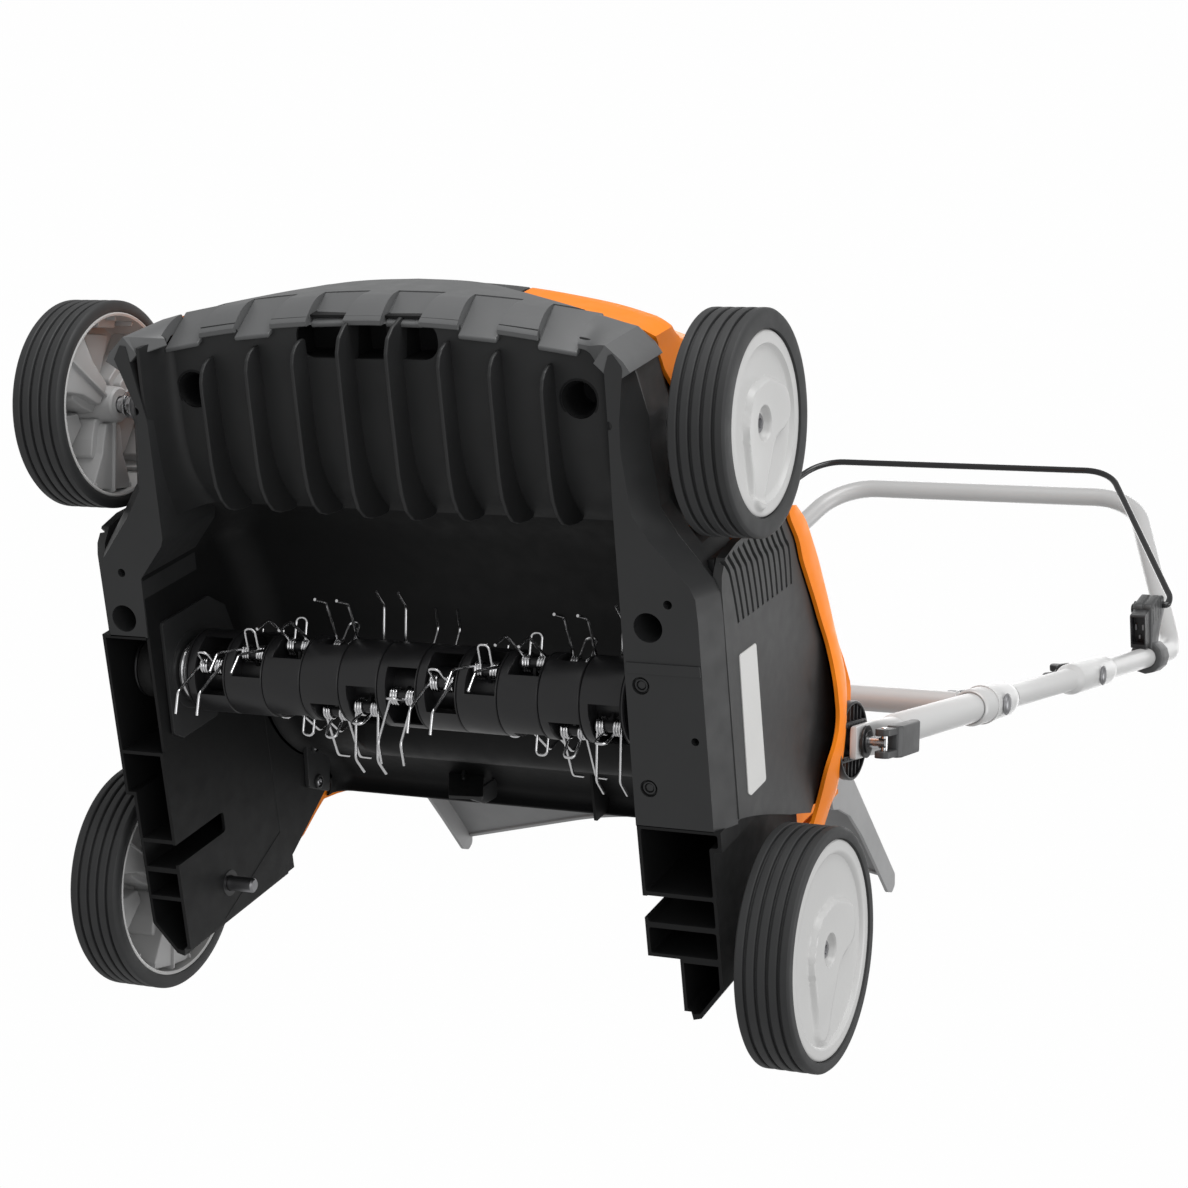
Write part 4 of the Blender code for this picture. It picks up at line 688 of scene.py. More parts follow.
rail_r = rail(low_r, 1, 7)
rail_l = rail(low_l, -1, 6)
for o, side in ((rail_r, 1), (rail_l, -1)):
    # relief for the crank of the front axle, then the holes of the foot
    tools = [box(*sorted((side * 0.1985, side * 0.2600)), -0.3950, -0.2960, 0.0600, 0.1200),
             rod((side * 0.179, -0.3840, 0.010), (side * 0.179, -0.3840, 0.045), 0.0029, 20),
             rod((side * 0.2101, -0.2654, 0.010), (side * 0.2101, -0.2654, 0.050), 0.0031, 20)]
    if side > 0:
        tools += [rod((0.1948, -0.2489, 0.010), (0.1948, -0.2489, 0.085), 0.0102, 32),
                  rod((0.2217, -0.1715, 0.010), (0.2217, -0.1715, 0.060), 0.0028, 20),
                  rod((0.1861, -0.2082, 0.010), (0.1861, -0.2082, 0.026), 0.0062, 28),
                  rod((0.1855, -0.1356, 0.010), (0.1855, -0.1356, 0.026), 0.0062, 28)]
    else:
        tools += [rod((-0.2135, -0.2310, 0.010), (-0.2135, -0.2310, 0.085), 0.0100, 32)]
    cut(o, tools)
    add("rail_right" if side > 0 else "rail_left", o, "side", "chassis", width=0.0010, seg=3, angle=24)
band = [prism([(0.1770, -0.2245), (0.2296, -0.2245), (0.2296, -0.2170), (0.1768, -0.2170)], "Z", 0.0214, 0.0235)]
for y in (-0.2082, -0.1356):
    x = 0.1861 if y < -0.2 else 0.1855
    band += [ring((x, y, 0.0260), (x, y, 0.0233), 0.0034, 0.0046, 24),
             rod((x, y, 0.0260), (x, y, 0.0240), 0.0030, 20, 0.0005)]
add("rail_details", band, "side", "chassis", width=0.0004)

# --------------------------------------------------------------- rear side boxes
outer_r = [(0.2345, -0.1085), (0.2345, -0.0940), (0.2280, -0.0940), (0.2275, 0.0080), (0.2098, 0.0305),
           (0.2037, 0.0322), (0.2026, 0.0262), (0.1975, 0.0262), (0.1975, -0.0125), (0.1740, -0.0125),
           (0.1740, -0.1085)]
outer_l = [(-0.2345, -0.2180), (-0.2345, -0.0940), (-0.2280, -0.0940), (-0.2275, 0.0080), (-0.2098, 0.0305),
           (-0.2037, 0.0322), (-0.2026, 0.0262), (-0.1975, 0.0262), (-0.1975, -0.1265), (-0.1975, -0.2180)]
right_box = prism(outer_r, "Z", 0.0225, 0.1740)
cells = [prism(smooth_path([(0.1765, -0.1060), (0.2320, -0.1060), (0.2320, -0.0965), (0.2255, -0.0965), (0.2255, -0.0605),
                            (0.1765, -0.0605)], 0.0016, 3), "Z", 0.0100, 0.1700),
         prism(smooth_path([(0.1765, -0.0575), (0.2255, -0.0575), (0.2255, -0.0380), (0.1765, -0.0380)], 0.0016, 3), "Z",
               0.0100, 0.1700),
         prism(smooth_path([(0.1765, -0.0340), (0.2255, -0.0340), (0.2255, -0.0150), (0.1765, -0.0150)], 0.0016, 3), "Z",
               0.0100, 0.1700),
         prism([(0.2000, -0.0100), (0.2252, -0.0100), (0.2250, 0.0070), (0.2090, 0.0272), (0.2045, 0.0280),
                (0.2000, 0.0237)], "Z", 0.0100, 0.1700)]
cut(right_box, cells)
left_box = prism(outer_l, "Z", 0.0225, 0.1740)
cut(left_box, [
    prism([(-0.2320, -0.1265), (-0.2320, -0.0965), (-0.2255, -0.0965), (-0.2255, -0.0605), (-0.2000, -0.0605),
           (-0.2000, -0.1265)], "Z", 0.0100, 0.1700),
    box(-0.2255, -0.2000, -0.0575, -0.0380, 0.0100, 0.1700),
    box(-0.2255, -0.2000, -0.0340, -0.0150, 0.0100, 0.1700),
    prism([(-0.2000, -0.0120), (-0.2253, -0.0120), (-0.2250, 0.0070), (-0.2090, 0.0272), (-0.2045, 0.0280),
           (-0.2000, 0.0237)], "Z", 0.0100, 0.1700),
    box(-0.2320, -0.1900, -0.2155, -0.1290, 0.0100, 0.2000),
    box(-0.2310, -0.1990, -0.2000, -0.1050, 0.1300, 0.2000)])
slot_yz = smooth_path([(-0.0570, 0.0100), (-0.0410, 0.0100), (-0.0410, 0.0880), (-0.0570, 0.0880)], 0.0035, 4)
# rear boxes in the darker deck plastic: painted shade under the hood
for o, side in ((right_box, 1), (left_box, -1)):
    x0, x1 = (0.1700, 0.1800) if side > 0 else (-0.2030, -0.1960)
    cut(o, [prism(slot_yz, "X", x0, x1), rod((side * 0.16, 0, REAR_R), (side * 0.26, 0, REAR_R), 0.0058, 24)])
    add("rear_box_right" if side > 0 else "rear_box_left", o, "dark", "chassis", width=0.0007,
        seg=2, angle=40)
# plates and side walls in the darker deck plastic: painted shade under the hood
plate_yz = [(-0.0100, 0.1600), (0.0240, 0.0700), (0.0262, 0.0861), (0.0267, 0.1495), (0.0136, 0.1780),
            (-0.0166, 0.2357), (-0.0220, 0.2470), (-0.0600, 0.2300), (-0.1290, 0.1900), (-0.1290, 0.1600)]
for side in (1, -1):
    o = prism(plate_yz, "X", *sorted((side * 0.1972, side * 0.1996)))
    add("rear_plate_right" if side > 0 else "rear_plate_left", o, "dark", "chassis", width=0.0006)
    wall = prism([(-0.290, 0.046), (-0.107, 0.046), (-0.096, 0.080), (-0.078, 0.130), (-0.066, 0.180), (-0.090, 0.214),
                  (-0.120, 0.236), (-0.150, 0.232), (-0.200, 0.214), (-0.250, 0.186), (-0.290, 0.160)] if side > 0 else
                 [(-0.270, 0.046), (-0.2150, 0.046), (-0.107, 0.1700), (-0.066, 0.180), (-0.090, 0.214), (-0.120, 0.236),
                  (-0.150, 0.232), (-0.200, 0.214), (-0.270, 0.170)], "X", *sorted((side * 0.2300, side * 0.2345)))
    add("side_wall_right" if side > 0 else "side_wall_left", wall, "dark", "chassis", width=0.0008)

# bracket with two screws on the left plate, ring around the rear axle pin
bracket = [prism(smooth_path([(-0.0739, 0.2094), (-0.0589, 0.2439), (-0.0142, 0.2333), (-0.0290, 0.2040)], 0.002, 3), "X",
                 -0.1972, -0.1935)]
screws = []
for y, z in ((-0.0583, 0.2190), (-0.0291, 0.2176)):
    bracket.append(ring((-0.1935, y, z), (-0.1912, y, z), 0.0040, 0.0056, 28))
    screws.append(lathe([(0, 0), (0, 0.0036), (0.0014, 0.0034), (0.0020, 0.0022), (0.0008, 0.0016), (0.0008, 0)],
                        (-0.1935, y, z), (1, 0, 0), 20, closed=False))
add("roof_bracket", bracket, "side", "chassis", width=0.0005)
add("bracket_screws", screws, "dull", "chassis")
for side, tag in ((1, "right"), (-1, "left")):
    x0 = 0.1740 if side > 0 else 0.1975
    add("axle_seat_" + tag, [ring((side * (x0 - 0.0004), 0, REAR_R), (side * (x0 + 0.0016), 0, REAR_R), 0.0060, 0.0100, 40)]
        if side < 0 else [ring((side * (0.1975 - 0.0006), 0, REAR_R), (side * 0.1990, 0, REAR_R), 0.0060, 0.0100, 40)],
        "black", "chassis", width=0.0004)
    add("rear_axle_pin_" + tag, lathe([(0.1760, 0), (0.1760, 0.0042), (0.1773, 0.0055), (0.2690, 0.0055), (0.2690, 0)],
                                      (0, 0, REAR_R), (side, 0, 0), 32, closed=False), "dull", "chassis",
        ["rear_axle_" + tag])

# ----------------------------------------------------------------- front strip
TOP = [(0.0, 0.1222), (0.050, 0.1180), (0.0840, 0.1050), (0.1000, 0.0985), (0.1262, 0.0895), (0.1551, 0.0803),
       (0.180, 0.0775), (0.22, 0.0780)]


def top_z(x):
    return soft_table(TOP, abs(x)) if abs(x) < 0.18 else 0.0775


arc_pts = [(x, arc_y(x)) for x in span(-0.1815, 0.1815, 120)]
arc_pts = [(-0.1975, -0.4190), (-0.1930, -0.4262)] + arc_pts + [(0.1930, -0.4262), (0.1975, -0.4190)]


def inward(points, d):
    out = []
    for i, (x, y) in enumerate(points):
        a, b = points[max(i - 1, 0)], points[min(i + 1, len(points) - 1)]
        t = Vector((b[0] - a[0], b[1] - a[1])).normalized()
        out.append((x - t.y * d, y + t.x * d))
    return out


def swept(section, points):
    m = len(section(0.0))
    lanes = {}
    verts = []
    for i in range(len(points)):
        for d, z in section(points[i][0]):
            key = round(d, 6)
            if key not in lanes:
                lanes[key] = inward(points, d)
            x, y = lanes[key][i]
            verts.append((x, y, z))
    faces = [tuple(range(m)), tuple((len(points) - 1) * m + k for k in range(m))]
    for i in range(len(points) - 1):
        for k in range(m):
            j = (k + 1) % m
            faces.append((i * m + k, i * m + j, (i + 1) * m + j, (i + 1) * m + k))
    return obj(raw(verts, faces))


DEPTHS = (0.0005, 0.0018, 0.0040, 0.0068, 0.0096, 0.0112, 0.0122)
SHARES = (0.825, 0.63, 0.44, 0.26, 0.105, 0.030, 0.0)


def strip_section(x):
    """Upright face, hollow underneath in the middle, drawn down over the rails at both ends."""
    e = smoothstep(0.1575, 0.1840, abs(x))
    t, low = top_z(x), 0.0475 - 0.0247 * e
    lower = [(d * (1 - e), low + f * (0.0760 - low)) for d, f in zip(DEPTHS, SHARES)]
    return [(0.0020, t), (0.0006, t - 0.0006), (0.0, t - 0.0025), (0.0, 0.0745)] + \
        [(d, min(z, 0.0740)) for d, z in lower] + \
        [(0.0150, low), (0.0156, low + 0.0006), (0.0156, low + 0.0085), (0.0110, low + 0.0185), (0.0110, t)]


strip = swept(strip_section, arc_pts)
tongues = []
for k in range(6):
    x = -0.1500 + k * 0.0573
    y = arc_y(x)
    tilt = (arc_y(x + 0.002) - arc_y(x - 0.002)) / 0.004

    cut(strip, [wedge_tool(x)])
    end = 0.0185 if abs(x) > 0.05 else 0.0150
    zz = 0.0836 - (end - 0.0003) * 0.0371 / 0.0177
    front = [(-0.0179, 0.0003, 0.0836), (0.0179, 0.0003, 0.0836), (0.0139, end, zz), (-0.0139, end, zz)]
    verts = []
    for layer in (0.0, 0.0032):
        for a, d, z in front:
            verts.append((x + a, y + d + tilt * a + layer, z + (0.0008 if layer else 0.0)))
    tongues.append(bevel(obj(raw(verts, [(0, 1, 2, 3), (4, 5, 6, 7), (0, 1, 5, 4), (1, 2, 6, 5), (2, 3, 7, 6), (3, 0, 4, 7)])),
                         0.0013, 4, 40))
add("front_strip_shell", strip, "strip", "chassis", ["front_strip"], 0.0006, 2, 26)
add("front_strip_scoops", tongues, "strip", "chassis")


# --------------------------------------------------------------- orange upper hood
RIM = [(-0.4560, 0.1045), (-0.4440, 0.1130), (-0.4350, 0.1380), (-0.4200, 0.1620), (-0.4000, 0.1740), (-0.3300, 0.1830),
       (-0.2880, 0.1860), (-0.2693, 0.2009), (-0.2338, 0.2203), (-0.1993, 0.2347), (-0.1644, 0.2478), (-0.1440, 0.2600),
       (-0.1219, 0.2700), (-0.1020, 0.2640), (-0.0900, 0.2520), (-0.0627, 0.2270), (-0.0500, 0.2150)]
CROWN = [(-0.4560, 0.1200), (-0.4440, 0.1420), (-0.4250, 0.1760), (-0.3800, 0.2020), (-0.3300, 0.2300), (-0.2600, 0.2670),
         (-0.2000, 0.2940), (-0.1400, 0.3150), (-0.0900, 0.3270), (-0.0450, 0.3300)]
HALF = [(0.0, 0.1925), (0.035, 0.1935), (0.083, 0.1995), (0.12, 0.2010), (0.22, 0.2010), (0.32, 0.2080), (0.40, 0.2380),
        (1.0, 0.2395)]


def hood_point(u, v, lift=0.0):
    half = table(HALF, v) - lift * 0.3
    x = u * half
    front = arc_y(min(abs(x), 0.1815)) + 0.0020 + max(0.0, abs(x) - 0.1815) * 0.5 + lift * 0.3
    rear = -0.0530
    y = front + (rear - front) * v
    # the nose keeps its height along the curved front
    yy = y - (front + 0.4546) * (1 - smoothstep(0.0, 0.32, v))
    rim, crown = table(RIM, yy), table(CROWN, yy)
    s = min(1.0, max(0.0, 1 - abs(u)) ** 0.55 * 1.28)
    s = s - 0.12 * s * (1 - s)
    z = rim + (crown - rim) * s - 0.0300 * smoothstep(0.070, 0.120, -x) * (1 - smoothstep(0.0, 0.16, v))
    return Vector((x, y, z - lift))


def ease_list(n, k=1.6):
    half = [1 - (1 - i / n) ** k for i in range(n + 1)]
    return [-h for h in reversed(half)][:-1] + half


HU = ease_list(22)
HV = [0.0, 0.012, 0.03, 0.055, 0.08, 0.11, 0.14, 0.17, 0.2, 0.23, 0.26, 0.29, 0.32, 0.35, 0.38, 0.41, 0.45, 0.49, 0.53,
      0.57, 0.61, 0.65, 0.68, 0.71, 0.74, 0.77, 0.795, 0.815, 0.835, 0.855, 0.88, 0.91, 0.94, 0.97, 1.0]


def hood_skin(us, drop_side, t, base=0.0):
    """Dome with a skirt along the sides and down to the strip in front, t thick inwards."""
    pts = [[hood_point(u, v, base) for v in HV] for u in us]
    nu, nv = len(us), len(HV)
    verts = [p for row in pts for p in row]
    faces = [(i * nv + j, (i + 1) * nv + j, (i + 1) * nv + j + 1, i * nv + j + 1)
             for i in range(nu - 1) for j in range(nv - 1)]
    border = [(0, j) for j in range(nv - 1, 0, -1)] + [(i, 0) for i in range(nu)] + [(nu - 1, j) for j in range(1, nv)]
    steps = 4
    cols = []
    for i, j in border:
        p = pts[i][j]
        front = top_z(p.x) + 0.0004
        side_low = p.z - drop_side
        if j == 0:
            low = min(p.z - 0.001, front)
        elif i in (0, nu - 1) and p.y < -0.400:
            low = min(p.z - 0.001, 0.0800)
        elif i in (0, nu - 1) and p.y < -0.330:
            low = min(side_low, 0.0800 + (p.y + 0.400) / 0.07 * (side_low - 0.0800))
        else:
            low = side_low
        col = [i * nv + j]
        for k in range(1, steps + 1):
            t_ = k / steps
            lean = 0.0045 * t_ if (i in (0, nu - 1) and p.y > -0.33) else 0.0
            col.append(len(verts))
            verts.append(Vector((p.x - math.copysign(lean, p.x), p.y, p.z + (low - p.z) * t_)))
        cols.append(col)
    for a, b in zip(cols, cols[1:]):
        for k in range(steps):
            faces.append((a[k], b[k], b[k + 1], a[k + 1]))
    o = obj(raw(verts, faces, normals=False))
    bm = bmesh.new()
    bm.from_mesh(o.data)
    bmesh.ops.remove_doubles(bm, verts=bm.verts, dist=1e-6)
    bmesh.ops.recalc_face_normals(bm, faces=bm.faces)
    top = max(bm.faces, key=lambda f: f.calc_center_median().z)
    if top.normal.z < 0:
        bmesh.ops.reverse_faces(bm, faces=bm.faces)
    bm.to_mesh(o.data)
    bm.free()
    m = o.modifiers.new("s", "SOLIDIFY")
    m.thickness, m.offset, m.use_even_offset = t, -1.0, False
    return bake(o)


def outline_y(pts, z0, z1):
    return prism(pts, "Z", z0, z1)


cover_edge = [(-0.0860, -0.4600), (0.0860, -0.4600), (0.0620, -0.2600), (0.0520, -0.1100), (0.0400, -0.0850),
              (-0.0400, -0.0850), (-0.0520, -0.1100), (-0.0620, -0.2600)]
hood = hood_skin(HU, 0.0090, 0.0028)
cheek_x = 0.1935
cut(hood, [prism([(x * 1.004, y) for x, y in cover_edge], "Z", 0.08, 0.36),
           box(cheek_x - 0.0010, 0.1990, -0.1050, -0.0300, 0.2200, 0.3600),
           box(-0.1990, -cheek_x + 0.0010, -0.1050, -0.0300, 0.2200, 0.3600),
           prism(smooth_path([(-0.1600, -0.3720), (-0.1400, -0.3720), (-0.1400, -0.2920), (-0.1600, -0.2920)], 0.004, 4),
                 "Z", 0.1500, 0.3000)])
add("hood_shell", hood, "hood", "chassis", ["hood"], 0.0007, 2, 45, sharp=50)
# outer rim: a skirt that stands out from the dome, wider under the handle's pivots
SKIRT = [(-0.2931, 0.1585, -0.2883, 0.1744, 0.2436), (-0.2814, 0.1622, -0.2729, 0.1898, 0.2438),
         (-0.2636, 0.1734, -0.2555, 0.1990, 0.2442), (-0.2477, 0.1779, -0.2382, 0.2074, 0.2445),
         (-0.2306, 0.1858, -0.2216, 0.2132, 0.2450), (-0.2133, 0.1939, -0.2049, 0.2190, 0.2455),
         (-0.1965, 0.1999, -0.1887, 0.2226, 0.2465), (-0.1793, 0.2068, -0.1723, 0.2268, 0.2475),
         (-0.1685, 0.2061, -0.1614, 0.2260, 0.2499), (-0.1582, 0.2038, -0.1509, 0.2240, 0.2524),
         (-0.1487, 0.1997, -0.1419, 0.2181, 0.2551), (-0.1385, 0.1970, -0.1324, 0.2134, 0.2566),
         (-0.1281, 0.1947, -0.1227, 0.2090, 0.2575), (-0.1184, 0.1905, -0.1128, 0.2051, 0.2577),
         (-0.1099, 0.1832, -0.1031, 0.2006, 0.2576), (-0.1031, 0.1772, -0.0944, 0.1992, 0.2565),
         (-0.0951, 0.1741, -0.0849, 0.1996, 0.2543), (-0.0855, 0.1745, -0.0750, 0.2006, 0.2512),
         (-0.0756, 0.1758, -0.0650, 0.2030, 0.2479), (-0.0655, 0.1753, -0.0564, 0.1985, 0.2448),
         (-0.0565, 0.1708, -0.0475, 0.1922, 0.2429), (-0.0484, 0.1627, -0.0397, 0.1832, 0.2422)]


def skirt_at(t):
    """Lower edge, upper edge and root of the skirt at a share t of its length, as (x, y, z)."""
    f = t * (len(SKIRT) - 1)
    cols = [soft_table([(k, row[c]) for k, row in enumerate(SKIRT)], f) for c in range(5)]
    ly, lz, uy, uz, x = cols
    root_y = uy + (x - 0.2385) * 1.05
    return (x, ly, lz), (x - 0.0004, uy, uz), (0.2385, root_y, min(uz + (x - 0.2385) * 2.45, 0.2600))


def skirt(side):
    rows_ = []
    for t in span(0, 1, 57):
        low, up, root = [Vector(p) for p in skirt_at(t)]
        mid = (low + up) / 2 + Vector((0.0008, 0, 0))
        rise = up.lerp(root, 0.10) + Vector((0.0004, 0, 0))
        out = [low, low.lerp(mid, 0.5) + Vector((0.0004, 0, 0)), mid, mid.lerp(up, 0.6) + Vector((0.0003, 0, 0)), up, rise,
               up.lerp(root, 0.5), root]
        back = [root + Vector((0, 0, -0.0030)), up.lerp(root, 0.5) + Vector((-0.0020, 0, -0.0024)),
                rise + Vector((-0.0030, 0, -0.0024)), mid + Vector((-0.0036, 0, 0)), low + Vector((-0.0030, 0, 0.0002))]
        rows_.append([Vector((side * p.x, p.y, p.z)) for p in out + back])
    m = len(rows_[0])
    verts = [p for r in rows_ for p in r]
    faces = [tuple(range(m)), tuple((len(rows_) - 1) * m + k for k in range(m))]
    for i in range(len(rows_) - 1):
        faces += [(i * m + k, i * m + (k + 1) % m, (i + 1) * m + (k + 1) % m, (i + 1) * m + k) for k in range(m)]
    return obj(raw(verts, faces))


add("hood_skirts", [skirt(1), skirt(-1)], "hood", "chassis", sharp=48)
flanges = []
for side in (1, -1):
    flanges.append(prism(smooth_path([(-0.0620, 0.1790), (0.0180, 0.1790), (0.0128, 0.1806), (0.0090, 0.1981),
                                      (-0.0010, 0.2197), (-0.0068, 0.2340), (-0.0030, 0.2549), (0.0011, 0.2715),
                                      (-0.0150, 0.2860), (-0.0410, 0.3050), (-0.0480, 0.3230), (-0.0900, 0.3050)],
                                     0.003, 4), "X", *sorted((side * 0.2003, side * 0.2042))))
    flanges.append(prism([(side * 0.2390, -0.0560), (side * 0.2390, -0.0525), (side * 0.2035, -0.0160),
                          (side * 0.2035, -0.0205)], "Z", 0.2060, 0.2300))
add("hood_flanges", flanges, "hood", "chassis", width=0.0008)

cover = hood_skin([u * 0.43 for u in ease_list(9, 1.0)], 0.0, 0.0028)
boolean(cover, prism([(x * 0.992, y) for x, y in cover_edge], "Z", 0.1000, 0.3600), "INTERSECT")
vents = []
for k in range(5):
    y = -0.2300 + 0.0220 * k
    vents.append(prism(smooth_path([(-0.0300, y), (0.0300, y), (0.0300, y + 0.0090), (-0.0300, y + 0.0090)], 0.004, 4), "Z",
                       0.1500, 0.3600))
cut(cover, vents)
add("motor_cover_shell", cover, "cover", "chassis", ["motor_cover"], 0.0006, 2, 45, sharp=50)

# ------------------------------------------------------------------ side covers
low = [(-0.2940, 0.0700), (-0.2900, 0.0500), (-0.2800, 0.0420), (-0.2720, 0.0402), (-0.1114, 0.0402)]
arch = [(-0.1098, 0.0460), (-0.1040, 0.0640), (-0.0950, 0.0880), (-0.0860, 0.1100), (-0.0770, 0.1310), (-0.0700, 0.1500),
        (-0.0630, 0.1680)]
high = [(-0.0666, 0.1738), (-0.0743, 0.1831), (-0.0821, 0.1923), (-0.0897, 0.2021), (-0.0966, 0.2139), (-0.1051, 0.2216),
        (-0.1153, 0.2253), (-0.1268, 0.2253), (-0.1387, 0.2241), (-0.1512, 0.2212), (-0.1641, 0.2170), (-0.1773, 0.2114),
        (-0.1955, 0.2020), (-0.2132, 0.1935), (-0.2310, 0.1842), (-0.2485, 0.1751), (-0.2646, 0.1698), (-0.2826, 0.1579),
        (-0.2945, 0.1500)]


def vent_curve(k):
    """Centre line of one vent groove in the YZ plane: straight along the side, then swept up over the front."""
    t = k / 11
    y1, z1 = -0.2410 + 0.0055 * t, 0.0640 + 0.0970 * t
    bend, zb = -0.2760 + 0.0150 * t, 0.0560 + 0.1050 * t
    pts = [(y1, z1), (y1 + (bend - y1) * 0.5, (z1 + zb) / 2 + 0.0006), (bend, zb), (bend - 0.0050, zb - 0.0026),
           (bend - 0.0095, zb - 0.0064), (-0.2900, zb - 0.0110 - 0.0060 * t)]
    out = []
    for q in range(len(pts) - 1):
        for s_ in span(0, 1, 3)[:-1] if q < len(pts) - 2 else span(0, 1, 3):
            p0, p1, p2, p3 = pts[max(q - 1, 0)], pts[q], pts[q + 1], pts[min(q + 2, len(pts) - 1)]
            out.append(tuple(0.5 * (2 * p1[c] + (p2[c] - p0[c]) * s_ + (2 * p0[c] - 5 * p1[c] + 4 * p2[c] - p3[c]) * s_ ** 2
                                    + (3 * p1[c] - p0[c] - 3 * p2[c] + p3[c]) * s_ ** 3) for c in (0, 1)))
    return out


for side, name in ((1, "right"), (-1, "left")):
    x0, x1 = sorted((side * 0.2348, side * 0.2412))
    cover_s = prism(low + arch + high, "X", x0, x1)
    grooves = []
    for k in range(12):
        c = vent_curve(k)
        nrm = []
        for i, p in enumerate(c):
            a, b = c[max(i - 1, 0)], c[min(i + 1, len(c) - 1)]
            t = Vector((b[0] - a[0], b[1] - a[1])).normalized()
            nrm.append((-t.y, t.x))
        n = len(c)
        vs = []
        for depth, w in ((0.2420, 0.00185), (0.2405, 0.0015), (0.2376, 0.0009)):
            vs += [(side * depth, p[0] + m_[0] * w, p[1] + m_[1] * w) for p, m_ in zip(c, nrm)]
            vs += [(side * depth, p[0] - m_[0] * w, p[1] - m_[1] * w) for p, m_ in reversed(list(zip(c, nrm)))]
        m2 = 2 * n
        fs = [tuple(range(m2)), tuple(range(2 * m2, 3 * m2))]
        for layer in (0, 1):
            fs += [(layer * m2 + i, layer * m2 + (i + 1) % m2, (layer + 1) * m2 + (i + 1) % m2, (layer + 1) * m2 + i)
                   for i in range(m2)]
        grooves.append(obj(raw(vs, fs)))
    cut(cover_s, grooves)
    add("side_cover_shell_" + name, cover_s, "cover", "chassis", ["side_cover_" + name], sharp=30)
# dark sheet in the gap between the side cover and the hood rim: painted shade
gap_shade_sheets = []
for side in (1, -1):
    outer = [(y + 0.006, z + 0.021) for y, z in high]
    gap_shade_sheets.append(prism(list(high) + list(reversed(outer)), "X", *sorted((side * 0.2398, side * 0.2404))))
add("rim_gap_painted_shade", gap_shade_sheets, "dark", "chassis")
plate_o = prism(smooth_path([(-0.2182, 0.0895), (-0.2200, 0.0600), (-0.1225, 0.0575), (-0.1197, 0.0620),
                             (-0.1197, 0.0895)], 0.0024, 5), "X", 0.2408, 0.2420)
add("blank_label_plate", plate_o, "plate", "chassis", ["blank_plate"], 0.0003)


# ----------------------------------------------------------------------- wheels
def tread(x0, x1, radius, n=5):
    """Outer contour of a ribbed tyre from the inner to the outer side: broad ribs between square grooves."""
    a, b = x0 + 0.0012, x1 - 0.0014
    gap = 0.0024
    land = (b - a - gap * (n - 1)) / n
    out = [(x0, radius - 0.0050), (x0 + 0.0003, radius - 0.0020)]
    for k in range(n):
        s = a + k * (land + gap)
        out += [(s, radius - 0.0006), (s + 0.0006, radius - 0.0001), (s + land * 0.5, radius), (s + land - 0.0006, radius - 0.0001),
                (s + land, radius - 0.0006)]
        if k < n - 1:
            out += [(s + land + 0.0003, radius - 0.0026), (s + land + 0.0007, radius - 0.0029),
                    (s + land + gap - 0.0007, radius - 0.0029), (s + land + gap - 0.0003, radius - 0.0026)]
    out += [(x1 - 0.0004, radius - 0.0014), (x1, radius - 0.0024), (x1 + 0.0001, radius - 0.0050)]
    return out


def seg_distance(p, poly):
    best, inside = 1e9, False
    n = len(poly)
    for i in range(n):
        ax, ay = poly[i]
        bx, by = poly[(i + 1) % n]
        dx, dy = bx - ax, by - ay
        t = max(0.0, min(1.0, ((p[0] - ax) * dx + (p[1] - ay) * dy) / (dx * dx + dy * dy + 1e-18)))
        d = math.hypot(p[0] - ax - t * dx, p[1] - ay - t * dy)
        best = min(best, d)
        if (ay > p[1]) != (by > p[1]) and p[0] < (bx - ax) * (p[1] - ay) / (by - ay) + ax:
            inside = not inside
    return best if inside else -best


DROP = smooth_path([(0.0500, -0.0300), (-0.0060, -0.0300), (-0.0270, -0.0150), (-0.0280, 0.0140), (-0.0150, 0.0440),
                    (0.0120, 0.0440), (0.0150, 0.0165), (0.0350, 0.0010), (0.0550, -0.0130)], 0.018, 6)


